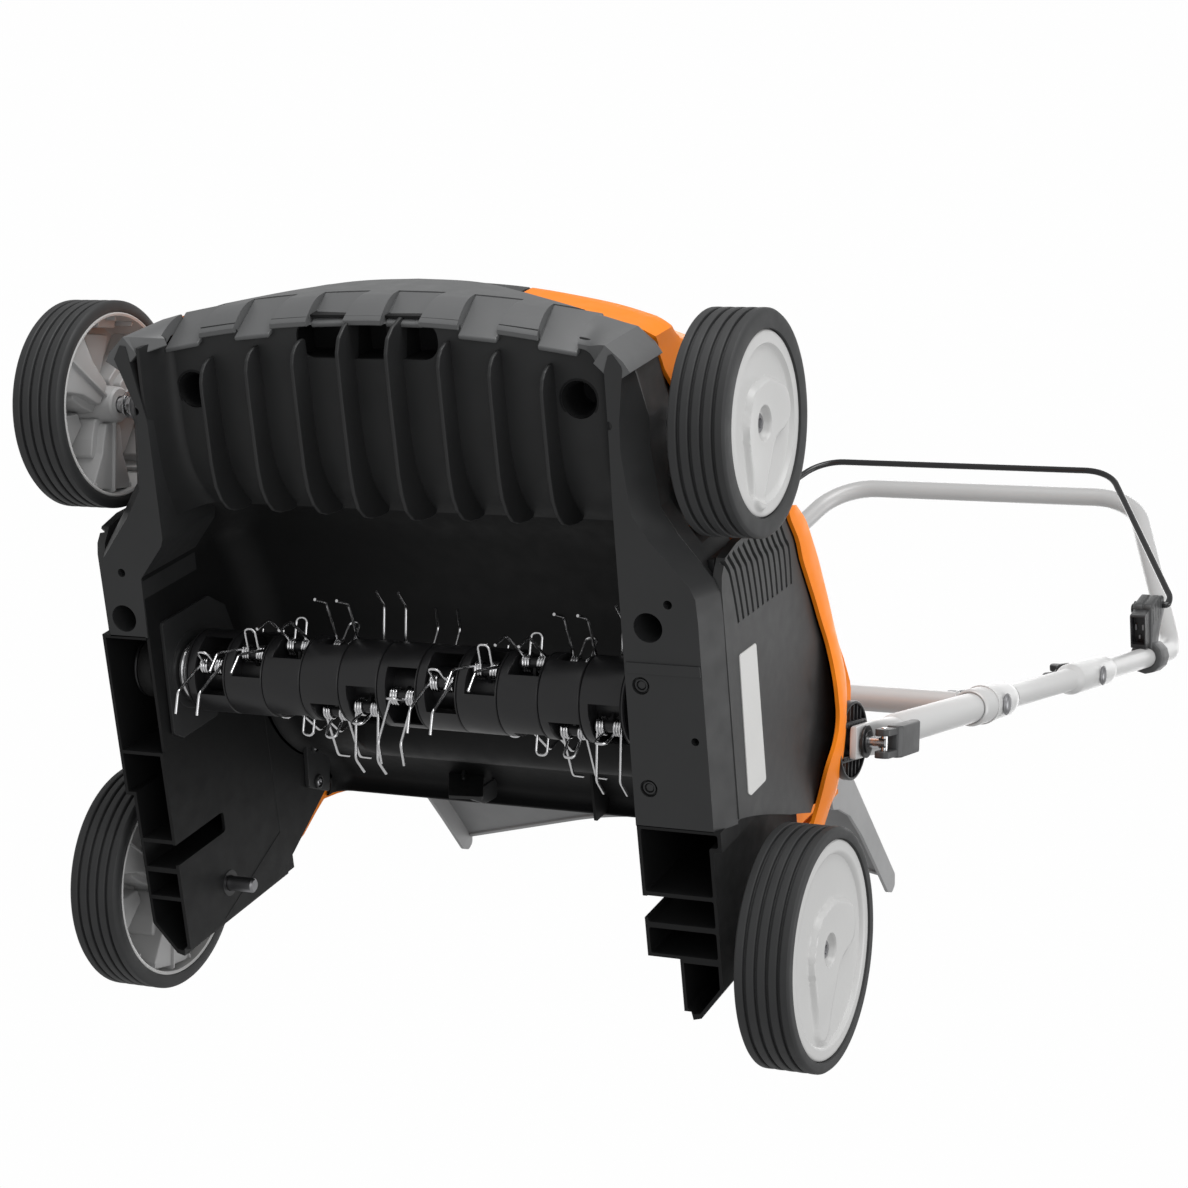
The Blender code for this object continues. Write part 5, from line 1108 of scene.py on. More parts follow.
def wheel(tag, side, y, z, radius, xs, rim_in, rim_out, body):
    x0, x1 = xs
    prof = tread(x0, x1, radius)
    prof += [(x1, rim_out + 0.0016), (x1 - 0.0004, rim_out + 0.0004), (x1 - 0.0022, rim_out + 0.0001),
             (x1 - 0.0084, rim_in + 0.0002), (x0 + 0.0004, rim_in), (x0, rim_in + 0.0012)]
    add("tyre_ribbed_" + tag, lathe(prof, (0, y, z), (side, 0, 0), 128), "tyre", body, ["tyre_" + tag],
        sharp=34)
    # outer face of the hub, as a polar height field
    k = rim_out / 0.0601
    k = 1.0 if k < 1.1 else 1.13
    drop = [(a * k, b * k) for a, b in DROP]
    ring_r = rim_out - 0.0004
    dish = ring_r - 0.0085
    rs = [0.0, 0.004, 0.008] + span(0.0105, ring_r - 0.0022, 52)
    nt = 144
    verts, faces = [], []

    def height(yy, zz, r):
        h = -0.0010
        h -= 0.0032 * (1 - smoothstep(dish - 0.0024, dish, r))
        h -= 0.0020 * (1 - smoothstep(0.012, dish, r))
        h += 0.0046 * smoothstep(-0.0003, 0.0022, seg_distance((yy, zz), drop)) * (1 - 0.35 * smoothstep(0.02, 0.05, yy))
        return h
    rings = []
    for r in rs:
        if r == 0.0:
            rings.append([0])
            verts.append((0.0, 0.0, height(0.0, 0.0, 0.0)))
            continue
        row = []
        for t in range(nt):
            a = 2 * math.pi * t / nt
            yy, zz = r * math.cos(a), r * math.sin(a)
            row.append(len(verts))
            verts.append((yy, zz, height(yy, zz, r)))
        rings.append(row)
    for r, h in ((ring_r - 0.0008, -0.0012), (ring_r, -0.0022), (ring_r, -0.0040)):
        row = []
        for t in range(nt):
            a = 2 * math.pi * t / nt
            row.append(len(verts))
            verts.append((r * math.cos(a), r * math.sin(a), h))
        rings.append(row)
    # back of the face, then down the inside of the rim to the inner lip
    for r, h in ((rim_in - 0.0004, -0.0086), (rim_in - 0.0004, x0 - x1 + 0.0010), (rim_in - 0.0012, x0 - x1 + 0.0006),
                 (rim_in - 0.0028, x0 - x1 + 0.0012), (rim_in - 0.0036, -0.0100), (rim_in - 0.0060, -0.0076),
                 (0.0150, -0.0092)):
        row = []
        for t in range(nt):
            a = 2 * math.pi * t / nt
            row.append(len(verts))
            verts.append((r * math.cos(a), r * math.sin(a), h))
        rings.append(row)
    rings.append([len(verts)])
    verts.append((0.0, 0.0, -0.0092))
    for a, b in zip(rings, rings[1:]):
        m = max(len(a), len(b))
        for t in range(m):
            j = (t + 1) % m
            if len(a) == 1:
                faces.append((a[0], b[t], b[j]))
            elif len(b) == 1:
                faces.append((a[t], a[j], b[0]))
            else:
                faces.append((a[t], a[j], b[j], b[t]))
    world = [(side * (x1 - 0.0004 + h), y + yy, z + zz) for yy, zz, h in verts]
    hub = obj(raw(world, faces))
    o = Vector((0, y, z))
    s = Vector((side, 0, 0))
    cut(hub, [lathe([(x1 + 0.004, 0), (x1 + 0.004, 0.0150), (x1 - 0.0014, 0.0126), (x1 - 0.0024, 0.0118),
                     (x1 - 0.0040, 0.0112), (x1 - 0.0068, 0.0104), (x1 - 0.0078, 0.0090), (x1 - 0.0078, 0)], o, s, 48,
                    closed=False)])
    add("hub_face_" + tag, hub, "hub", body, ["hub_" + tag], sharp=46)
    # inner side: boss, broad arms with flanks, webs, pockets and ribs, in a darker copy of the hub plastic: painted
    # shade
    deep = x1 - 0.0092
    parts = [lathe([(x0 - 0.0010, 0.0062), (x0 - 0.0010, 0.0112), (x0 + 0.0004, 0.0126), (x0 + 0.0150, 0.0138),
                    (deep + 0.001, 0.0170), (deep + 0.001, 0.0062)], o, s, 48)]
    R = rim_in - 0.0030

    def sector(poly_rt, xa, xb, turn, rnd=0.003, taper=0.0):
        """Block standing on the back of the face; outline in radius and width along a direction."""
        c, d = math.cos(turn), math.sin(turn)
        pts = smooth_path(poly_rt, rnd, 4)
        n = len(pts)
        cx = sum(p[0] for p in pts) / n
        vs = []
        for xx, sc in ((xb, 1.0), (xa, 1.0 - taper)):
            for r_, t_ in pts:
                rr = cx + (r_ - cx) * (1 - (1 - sc) * 0.4)
                tt = t_ * sc
                vs.append((side * xx, y + rr * c - tt * d, z + rr * d + tt * c))
        fs = [tuple(range(n)), tuple(range(n, 2 * n))] + [(i, (i + 1) % n, n + (i + 1) % n, n + i) for i in range(n)]
        return obj(raw(vs, fs))
    arms = []
    base = math.radians(105)
    for q in range(3):
        t = base + q * 2 * math.pi / 3
        arms.append(sector([(0.0120, -0.0105), (R * 0.55, -0.0150), (R * 0.97, -0.0290), (R * 0.985, 0.0),
                            (R * 0.97, 0.0290), (R * 0.55, 0.0150), (0.0120, 0.0105)], x0 + 0.0050, deep + 0.001, t,
                           0.004, 0.16))
        arms.append(sector([(0.0100, -0.0150), (R * 0.40, -0.0190), (R * 0.62, -0.0200), (R * 0.62, 0.0200),
                            (R * 0.40, 0.0190), (0.0100, 0.0150)], x0 + 0.0110, deep + 0.001, t, 0.003, 0.10))
        t2 = t + math.pi / 3
        arms.append(sector([(R * 0.34, -0.0060), (R * 0.80, -0.0180), (R * 0.80, 0.0180), (R * 0.34, 0.0060)],
                           x0 + 0.0200, deep + 0.001, t2, 0.003, 0.14))
        arms.append(sector([(R * 0.86, -0.0120), (R * 0.995, -0.0140), (R * 0.995, 0.0140), (R * 0.86, 0.0120)],
                           x0 + 0.0120, deep + 0.001, t2, 0.002, 0.10))
    arms = [bevel(a, 0.0011, 3, 30) for a in arms]
    for q in range(3):
        t = base + q * 2 * math.pi / 3
        c, d = math.cos(t), math.sin(t)
        arms.append(bevel(sector([(0.0100, -0.0008), (R * 0.985, -0.0008), (R * 0.985, 0.0008), (0.0100, 0.0008)],
                                 x0 + 0.0026, deep, t, 0.0002), 0.0004, 2, 30))
    for q in range(18):
        t = 2 * math.pi * q / 18 + 0.09
        arms.append(bevel(sector([(R * 0.945, -0.0007), (R * 0.999, -0.0007), (R * 0.999, 0.0007), (R * 0.945, 0.0007)],
                                 x0 + 0.0040, deep, t, 0.0002), 0.0003, 2, 30))
    add("hub_back_" + tag, parts + arms, "hub_shaded", body, sharp=40)
    add("hub_bolt_" + tag, [lathe([(x1 - 0.0080, 0), (x1 - 0.0080, 0.0066), (x1 - 0.0062, 0.0066), (x1 - 0.0054, 0.0058),
                                   (x1 - 0.0054, 0.0034), (x1 - 0.0070, 0.0030), (x1 - 0.0070, 0)], o, s, 32,
                                  closed=False)], "dull", body)


wheel("rear_right", 1, REAR_Y, REAR_R, REAR_R, (0.2439, 0.2840), 0.0745, 0.0762, "wheel_rear_right")
wheel("rear_left", -1, REAR_Y, REAR_R, REAR_R, (0.2439, 0.2840), 0.0745, 0.0762, "wheel_rear_left")
wheel("front_right", 1, FRONT_Y, FRONT_R, FRONT_R, (0.2280, 0.2675), 0.0660, 0.0606, "wheel_front_right")
wheel("front_left", -1, FRONT_Y, FRONT_R, FRONT_R, (0.2280, 0.2675), 0.0660, 0.0606, "wheel_front_left")

# ----------------------------------------------------- cranked front axle, lever
arm, shiny = [rod((-0.2060, PIVOT_Y, PIVOT_Z), (0.2060, PIVOT_Y, PIVOT_Z), 0.0060, 32)], []
for s in (1, -1):
    arm += [rod((s * 0.2010, PIVOT_Y, PIVOT_Z), (s * 0.2120, PIVOT_Y, PIVOT_Z), 0.0120, 40, 0.0012),
            rod((s * 0.2010, FRONT_Y, FRONT_R), (s * 0.2125, FRONT_Y, FRONT_R), 0.0110, 40, 0.0012),
            prism([(PIVOT_Y - 0.0030, PIVOT_Z + 0.0110), (FRONT_Y - 0.0030, FRONT_R + 0.0100),
                   (FRONT_Y + 0.0030, FRONT_R - 0.0100), (PIVOT_Y + 0.0030, PIVOT_Z - 0.0110)], "X",
                  *sorted((s * 0.2020, s * 0.2110)))]
    shiny += [rod((s * 0.2050, FRONT_Y, FRONT_R), (s * 0.2500, FRONT_Y, FRONT_R), 0.0054, 32, 0.0008),
              ring((s * 0.2128, FRONT_Y, FRONT_R), (s * 0.2146, FRONT_Y, FRONT_R), 0.0054, 0.0100, 40),
              ring((s * 0.2190, FRONT_Y, FRONT_R), (s * 0.2206, FRONT_Y, FRONT_R), 0.0054, 0.0096, 40),
              ring((s * 0.2152, FRONT_Y, FRONT_R), (s * 0.2182, FRONT_Y, FRONT_R), 0.0054, 0.0078, 40)]
lever = prism(smooth_path([(PIVOT_Y - 0.0080, PIVOT_Z - 0.0040), (PIVOT_Y + 0.0080, PIVOT_Z + 0.0040), (-0.3290, 0.1750),
                           (-0.3330, 0.2350), (-0.3420, 0.2350), (-0.3390, 0.1700)], 0.002, 3), "X", -0.1525, -0.1475)
add("crank_axle", arm + [bevel(lever, 0.0006)], "dull", "depth_axle", ["front_axle"], 0.0004, 2, 40)
add("axle_stubs", shiny, "steel", "depth_axle", width=0.0003)
grip_body = prism(smooth_path([(-0.3310, 0.2360), (-0.3320, 0.2560), (-0.3360, 0.2620), (-0.3410, 0.2620),
                               (-0.3440, 0.2560), (-0.3430, 0.2360)], 0.002, 4), "X", -0.1570, -0.1430)
cut(grip_body, [box(-0.16, -0.14, -0.3460, -0.3436 + 0.0006, 0.2405 + 0.0040 * q, 0.2420 + 0.0040 * q) for q in range(4)])
add("depth_grip", grip_body, "black", "depth_axle", ["depth_lever_grip"], 0.0010, 3)
pivot_rings = []
for s in (1, -1):
    pivot_rings += [ring((s * 0.1850, PIVOT_Y, PIVOT_Z), (s * 0.1990, PIVOT_Y, PIVOT_Z), 0.0062, 0.0108, 40),
                    ring((s * 0.1990, PIVOT_Y, PIVOT_Z), (s * 0.2004, PIVOT_Y, PIVOT_Z), 0.0070, 0.0096, 40)]
add("pivot_bosses", pivot_rings, "black", "chassis", width=0.0004)


# ------------------------------------------------------------------------ rotor
axis = Vector((0, ROTOR_Y, ROTOR_Z))


def around(angle, r, t, x):
    a = math.radians(angle)
    return axis + Vector((x, r * math.cos(a) - t * math.sin(a), r * math.sin(a) + t * math.cos(a)))


def window_angle(k):
    return -109.9 - (10.0 + 30.0 * (k - 6))


segments, coils, legs, pins = [], [], [], []
pins.append(lathe([(-0.2312, 0), (-0.2312, 0.0080), (-0.1800, 0.0080), (-0.1800, 0.0152), (0.1680, 0.0152),
                   (0.1680, 0.0080), (0.1712, 0.0080), (0.1712, 0)], axis, (1, 0, 0), 48, closed=False))
for k in range(SEGMENTS):
    x = FIRST_X + PITCH * k
    lo, hi = x - 0.0170, x + 0.0136
    seg = lathe([(lo, 0.0276), (lo, 0.0292), (lo + 0.0007, 0.0300), (hi - 0.0007, 0.0300), (hi, 0.0292), (hi, 0.0276)],
                axis, (1, 0, 0), 96)
    sq = []
    for r, t in ((-0.04, -0.0210), (0.04, -0.0210), (0.04, 0.0210), (-0.04, 0.0210)):
        c = around(window_angle(k), r, t, 0)
        sq.append((c.y, c.z))
    cut(seg, [prism(sq, "X", x - 0.0104, x + 0.0128)])
    segments.append(bevel(seg, 0.0005, 2, 40))
    # divider disc beside each window
    segments.append(ring((x - 0.0135, ROTOR_Y, ROTOR_Z), (x - 0.0112, ROTOR_Y, ROTOR_Z), 0.0150, 0.0278, 64))
    xm = x + 0.0012
    for half in (0, 180):
        a = window_angle(k) + half
        c = around(a, 0.0225, 0, 0)
        pins.append(rod((xm - 0.0112, c.y, c.z), (xm + 0.0112, c.y, c.z), 0.0042, 24, 0.0004))
        web = [around(a, r, t, 0) for r, t in ((0.0100, -0.0060), (0.0200, -0.0036), (0.0262, -0.0022),
                                               (0.0262, 0.0022), (0.0200, 0.0036), (0.0100, 0.0060))]
        pins.append(prism([(p.y, p.z) for p in web], "X", xm - 0.0011, xm + 0.0011))
        for s in (-1, 1):
            turns, pts = 2.7, []
            start = math.radians(a) + (math.pi * 1.45)
            for q in range(int(turns * 22) + 1):
                t = q / 22.0
                ang = start + 2 * math.pi * t
                pts.append(Vector((xm + s * (0.0088 - 0.00205 * t), c.y + 0.0056 * math.cos(ang),
                                   c.z + 0.0056 * math.sin(ang))))
            coils.append(tube(pts, 0.00100, 10))
            xc = xm + s * 0.0088
            first = pts[0]
            path = rounded([first, around(a, 0.0508, 0.0241, xc), around(a, 0.0494, 0.0400, xc)], 0.0060, 6)
            path = [Vector((xc, p.y, p.z)) for p in path]
            legs.append(tube(path, 0.00110, 12))
        inner = around(a, 0.0250, 0.0015, 0)
        far = around(a, 0.0425, -0.0060, 0)
        u_path = rounded([(xm - 0.0016, c.y + 0.0, c.z), (xm - 0.0044, inner.y, inner.z), (xm - 0.0042, far.y, far.z),
                          (xm + 0.0042, far.y, far.z), (xm + 0.0044, inner.y, inner.z), (xm + 0.0016, c.y, c.z)],
                         0.0034, 5)
        legs.append(tube(u_path, 0.00100, 10))
end_rings = [lathe([(-0.1812, 0.0140), (-0.1812, 0.0290), (-0.1804, 0.0300), (-0.1792, 0.0300), (-0.1792, 0.0140)], axis,
                   (1, 0, 0), 96),
             lathe([(0.1618, 0.0140), (0.1618, 0.0300), (0.1630, 0.0300), (0.1640, 0.0290), (0.1640, 0.0140)], axis,
                   (1, 0, 0), 96)]
add("rotor_segments", segments + end_rings, "rotor", "rotor", ["rotor_drum"], sharp=35)
add("rotor_shaft", pins, "rotor", "rotor", ["rotor_core"], sharp=35)
add("spring_coils", coils, "spring", "rotor", sharp=60)
add("spring_tines", legs, "spring", "rotor", sharp=60)
add("rotor_pulley_grooved",
    lathe([(-0.2290, 0.0083), (-0.2290, 0.0226), (-0.2286, 0.0230), (-0.2279, 0.0230), (-0.2273, 0.0226),
           (-0.2270, 0.0200)] + [(-0.2264 + 0.0011 * q + d, 0.0200 - e) for q in range(11)
                                 for d, e in ((0, 0.0), (0.0003, 0.0), (0.00055, 0.0011), (0.0008, 0.0))
                                 if -0.2264 + 0.0011 * q + d < -0.2141] +
          [(-0.2140, 0.0200), (-0.2137, 0.0226), (-0.2131, 0.0230), (-0.2124, 0.0230), (-0.2120, 0.0226),
           (-0.2120, 0.0083)], axis, (1, 0, 0), 72), "black", "rotor", ["rotor_pulley"])
add("rotor_bearing_bright",
    lathe([(-0.1915, 0.0083), (-0.1915, 0.0212), (-0.1906, 0.0222), (-0.1890, 0.0222), (-0.1880, 0.0214),
           (-0.1868, 0.0214), (-0.1862, 0.0226), (-0.1856, 0.0232), (-0.1838, 0.0232), (-0.1830, 0.0226), (-0.1830, 0.0180),
           (-0.1840, 0.0172), (-0.1840, 0.0083)], axis, (1, 0, 0), 72), "steel", "rotor", ["rotor_bearing_ring"])
add("rotor_end_collar",
    lathe([(-0.1826, 0.0100), (-0.1826, 0.0238), (-0.1818, 0.0246), (-0.1814, 0.0246), (-0.1814, 0.0100)], axis,
          (1, 0, 0), 72), "black", "rotor")
bp = prism(smooth_path([(-0.2235, 0.0380), (-0.1400, 0.0340), (-0.1330, 0.0450), (-0.1330, 0.0900), (-0.1480, 0.1180),
                        (-0.1800, 0.1300), (-0.2100, 0.1200), (-0.2235, 0.1000)], 0.003, 4), "X", -0.1955, -0.1925)
cut(bp, [rod((-0.21, ROTOR_Y, ROTOR_Z), (-0.18, ROTOR_Y, ROTOR_Z), 0.0084, 40)])
collar = ring((-0.1936, ROTOR_Y, ROTOR_Z), (-0.1920, ROTOR_Y, ROTOR_Z), 0.0240, 0.0290, 64)
add("bearing_plate_finished", [bp, collar], "side", "chassis", ["bearing_plate"], 0.0005)

# --------------------------------------------------------------- motor and drive
m_axis = Vector((0, MOTOR_Y, MOTOR_Z))
R = 0.0420
can = lathe([(-0.1300, 0.0066), (-0.1300, 0.0120), (-0.1292, 0.0128), (-0.1292, R - 0.0030), (-0.1270, R), (0.0880, R),
             (0.0900, R - 0.0016), (0.0900, 0.0066), (0.0850, 0.0066), (0.0850, R - 0.0040), (-0.1250, R - 0.0040),
             (-0.1250, 0.0066)], m_axis, (1, 0, 0), 72)
cut(can, [joined([rod((x0, MOTOR_Y, MOTOR_Z + s * 0.03), (x0, MOTOR_Y, MOTOR_Z + s * 0.06), 0.0060, 20)
                  for x0 in (-0.10, -0.06, -0.02, 0.02, 0.06) for s in (1, -1)])])
add("motor_can_pressed", can, "dull", "chassis", ["motor_can"], 0.0003)
windings = [lathe([(-0.2290, 0), (-0.2290, 0.0060), (-0.0930, 0.0060), (-0.0930, 0.0180), (-0.0840, 0.0270),
                   (-0.0800, 0.0300), (0.0300, 0.0300), (0.0340, 0.0270), (0.0400, 0.0180), (0.0400, 0.0160),
                   (0.0700, 0.0160), (0.0700, 0.0060), (0.1250, 0.0060), (0.1250, 0)], m_axis, (1, 0, 0), 64,
                  closed=False)]
cut(windings[0], [joined([prism([(MOTOR_Y + 0.0215 * math.cos(q * math.pi / 10) - 0.0011 * math.sin(q * math.pi / 10),
                                  MOTOR_Z + 0.0215 * math.sin(q * math.pi / 10) + 0.0011 * math.cos(q * math.pi / 10)),
                                 (MOTOR_Y + 0.032 * math.cos(q * math.pi / 10) - 0.0011 * math.sin(q * math.pi / 10),
                                  MOTOR_Z + 0.032 * math.sin(q * math.pi / 10) + 0.0011 * math.cos(q * math.pi / 10)),
                                 (MOTOR_Y + 0.032 * math.cos(q * math.pi / 10) + 0.0011 * math.sin(q * math.pi / 10),
                                  MOTOR_Z + 0.032 * math.sin(q * math.pi / 10) - 0.0011 * math.cos(q * math.pi / 10)),
                                 (MOTOR_Y + 0.0215 * math.cos(q * math.pi / 10) + 0.0011 * math.sin(q * math.pi / 10),
                                  MOTOR_Z + 0.0215 * math.sin(q * math.pi / 10) - 0.0011 * math.cos(q * math.pi / 10))],
                                "X", -0.0790, 0.0290) for q in range(20)])])
add("armature_wound", windings, "copper", "motor", ["motor_armature"], 0.0002)
star = []
for k in range(14):
    rr = 0.0360 if k % 2 else 0.0150
    star.append((MOTOR_Y + rr * math.cos(k * math.pi / 7), MOTOR_Z + rr * math.sin(k * math.pi / 7)))
fan = prism(smooth_path(star, 0.0015, 3), "X", 0.1010, 0.1130)
cut(fan, [rod((0.09, MOTOR_Y, MOTOR_Z), (0.13, MOTOR_Y, MOTOR_Z), 0.0063, 32)])
add("cooling_fan", fan, "black", "motor", ["motor_fan"], 0.0006)
add("motor_pulley_flanged",
    lathe([(-0.2290, 0.0063), (-0.2290, 0.0121), (-0.2285, 0.0125), (-0.2279, 0.0125), (-0.2274, 0.0121), (-0.2270, 0.0100),
           (-0.2140, 0.0100), (-0.2136, 0.0121), (-0.2131, 0.0125), (-0.2124, 0.0125), (-0.2120, 0.0121),
           (-0.2120, 0.0063)], m_axis, (1, 0, 0), 48), "dull", "motor", ["motor_pulley"])


def belt_loop(grow, n=64):
    d = Vector((MOTOR_Y - ROTOR_Y, MOTOR_Z - ROTOR_Z))
    r1, r2 = 0.0200 + grow, 0.0100 + grow
    base_, off = math.atan2(d.y, d.x), math.acos((0.0200 - 0.0100) / d.length)
    pts = []
    for k in range(n + 1):
        a = base_ + off + (2 * math.pi - 2 * off) * k / n
        pts.append((ROTOR_Y + r1 * math.cos(a), ROTOR_Z + r1 * math.sin(a)))
    for k in range(n + 1):
        a = base_ - off + 2 * off * k / n
        pts.append((MOTOR_Y + r2 * math.cos(a), MOTOR_Z + r2 * math.sin(a)))
    return pts


def loop_solid(rings_):
    """Endless band: each ring is a list of points of equal length, closed both ways."""
    nb = len(rings_[0])
    verts = [p for r in rings_ for p in r]
    faces = []
    for q in range(len(rings_)):
        w = (q + 1) % len(rings_)
        faces += [(q * nb + i, q * nb + (i + 1) % nb, w * nb + (i + 1) % nb, w * nb + i) for i in range(nb)]
    return obj(raw(verts, faces))


rows = [[(-0.2262, a, b) for a, b in belt_loop(0.0008)], [(-0.2262, a, b) for a, b in belt_loop(0.0026)],
        [(-0.2258, a, b) for a, b in belt_loop(0.0030)], [(-0.2152, a, b) for a, b in belt_loop(0.0030)],
        [(-0.2148, a, b) for a, b in belt_loop(0.0026)], [(-0.2148, a, b) for a, b in belt_loop(0.0008)]]
for q in range(5):
    x0 = -0.2160 - 0.0020 * q
    rows += [[(x0, a, b) for a, b in belt_loop(0.0006)], [(x0 - 0.0007, a, b) for a, b in belt_loop(0.0013)],
             [(x0 - 0.0014, a, b) for a, b in belt_loop(0.0006)]]
add("belt_ribbed", loop_solid(rows), "belt", "chassis", ["drive_belt"], sharp=50)

# --------------------------------------------------------------------- rear flap
FLAP_ANGLE = math.radians(35.0)
fu = Vector((0, math.cos(FLAP_ANGLE), math.sin(FLAP_ANGLE)))
fn = Vector((0, math.sin(FLAP_ANGLE), -math.cos(FLAP_ANGLE)))
hinge = Vector((0, FLAP_Y, FLAP_Z))
LENGTH = 0.2130


def on_flap(x, s, h):
    return hinge + Vector((x, 0, 0)) + fu * s + fn * h


def flap_end(x):
    t = 1 - abs(x) / 0.1950
    return 0.2050 - 0.0759 * t + 0.0125 * max(0.0, (t - 0.6) / 0.4) ** 2


rows = []
for x in span(-0.1948, 0.1948, 48):
    e = flap_end(x)
    rows.append([on_flap(x, e * s, 0.0 if s < 0.97 else -0.0002) for s in span(0, 1, 24)])
panel_f = solid_grid(rows, fn * 0.0030)
border_strip = []
xs = span(-0.1930, 0.1930, 48)
edge_rows = []
for x in xs:
    e = flap_end(x) - 0.0012
    edge_rows.append([on_flap(x, e - 0.0052, 0.0026), on_flap(x, e - 0.0046, 0.0046), on_flap(x, e - 0.0010, 0.0046),
                      on_flap(x, e - 0.0002, 0.0036), on_flap(x, e, 0.0020)])
nv = 5
verts = [p for row in edge_rows for p in row]
faces = [(i * nv + j, (i + 1) * nv + j, (i + 1) * nv + (j + 1) % nv, i * nv + (j + 1) % nv)
         for i in range(len(xs) - 1) for j in range(nv)]
faces += [tuple(range(nv)), tuple((len(xs) - 1) * nv + j for j in range(nv))]
border_strip = obj(raw(verts, faces))
# the panel takes the darker copy of the flap plastic: painted shade
add("flap_panel", panel_f, "flap_shaded", "flap", ["rear_flap"], 0.0006, sharp=40)
add("flap_border", border_strip, "flap", "flap", width=0.0004, sharp=40)
cheek = [(0.030, -0.0015), (LENGTH - 0.010, -0.0015), (LENGTH - 0.003, 0.006), (LENGTH - 0.005, 0.014),
         (LENGTH - 0.014, 0.0190), (0.150, 0.0192), (0.110, 0.0200), (0.075, 0.0240), (0.050, 0.0340), (0.038, 0.0420),
         (0.026, 0.0360)]
for s, tag in ((1, "right"), (-1, "left")):
    pts = [on_flap(0, a, h) for a, h in cheek]
    add("flap_cheek_" + tag, prism(smooth_path([(p.y, p.z) for p in pts], 0.005, 5), "X",
                                   *sorted((s * 0.1935, s * 0.1965))), "flap", "flap", width=0.0007)
add("flap_hinge_rod", [rod((-0.1900, FLAP_Y, FLAP_Z), (0.1900, FLAP_Y, FLAP_Z), 0.0048, 32, 0.0006)], "flap", "flap")


# -------------------------------------------------------------- handle, both sides
def ellipse(y, z, ry, rz, n=64):
    return [(y + ry * math.cos(2 * math.pi * k / n), z + rz * math.sin(2 * math.pi * k / n)) for k in range(n)]


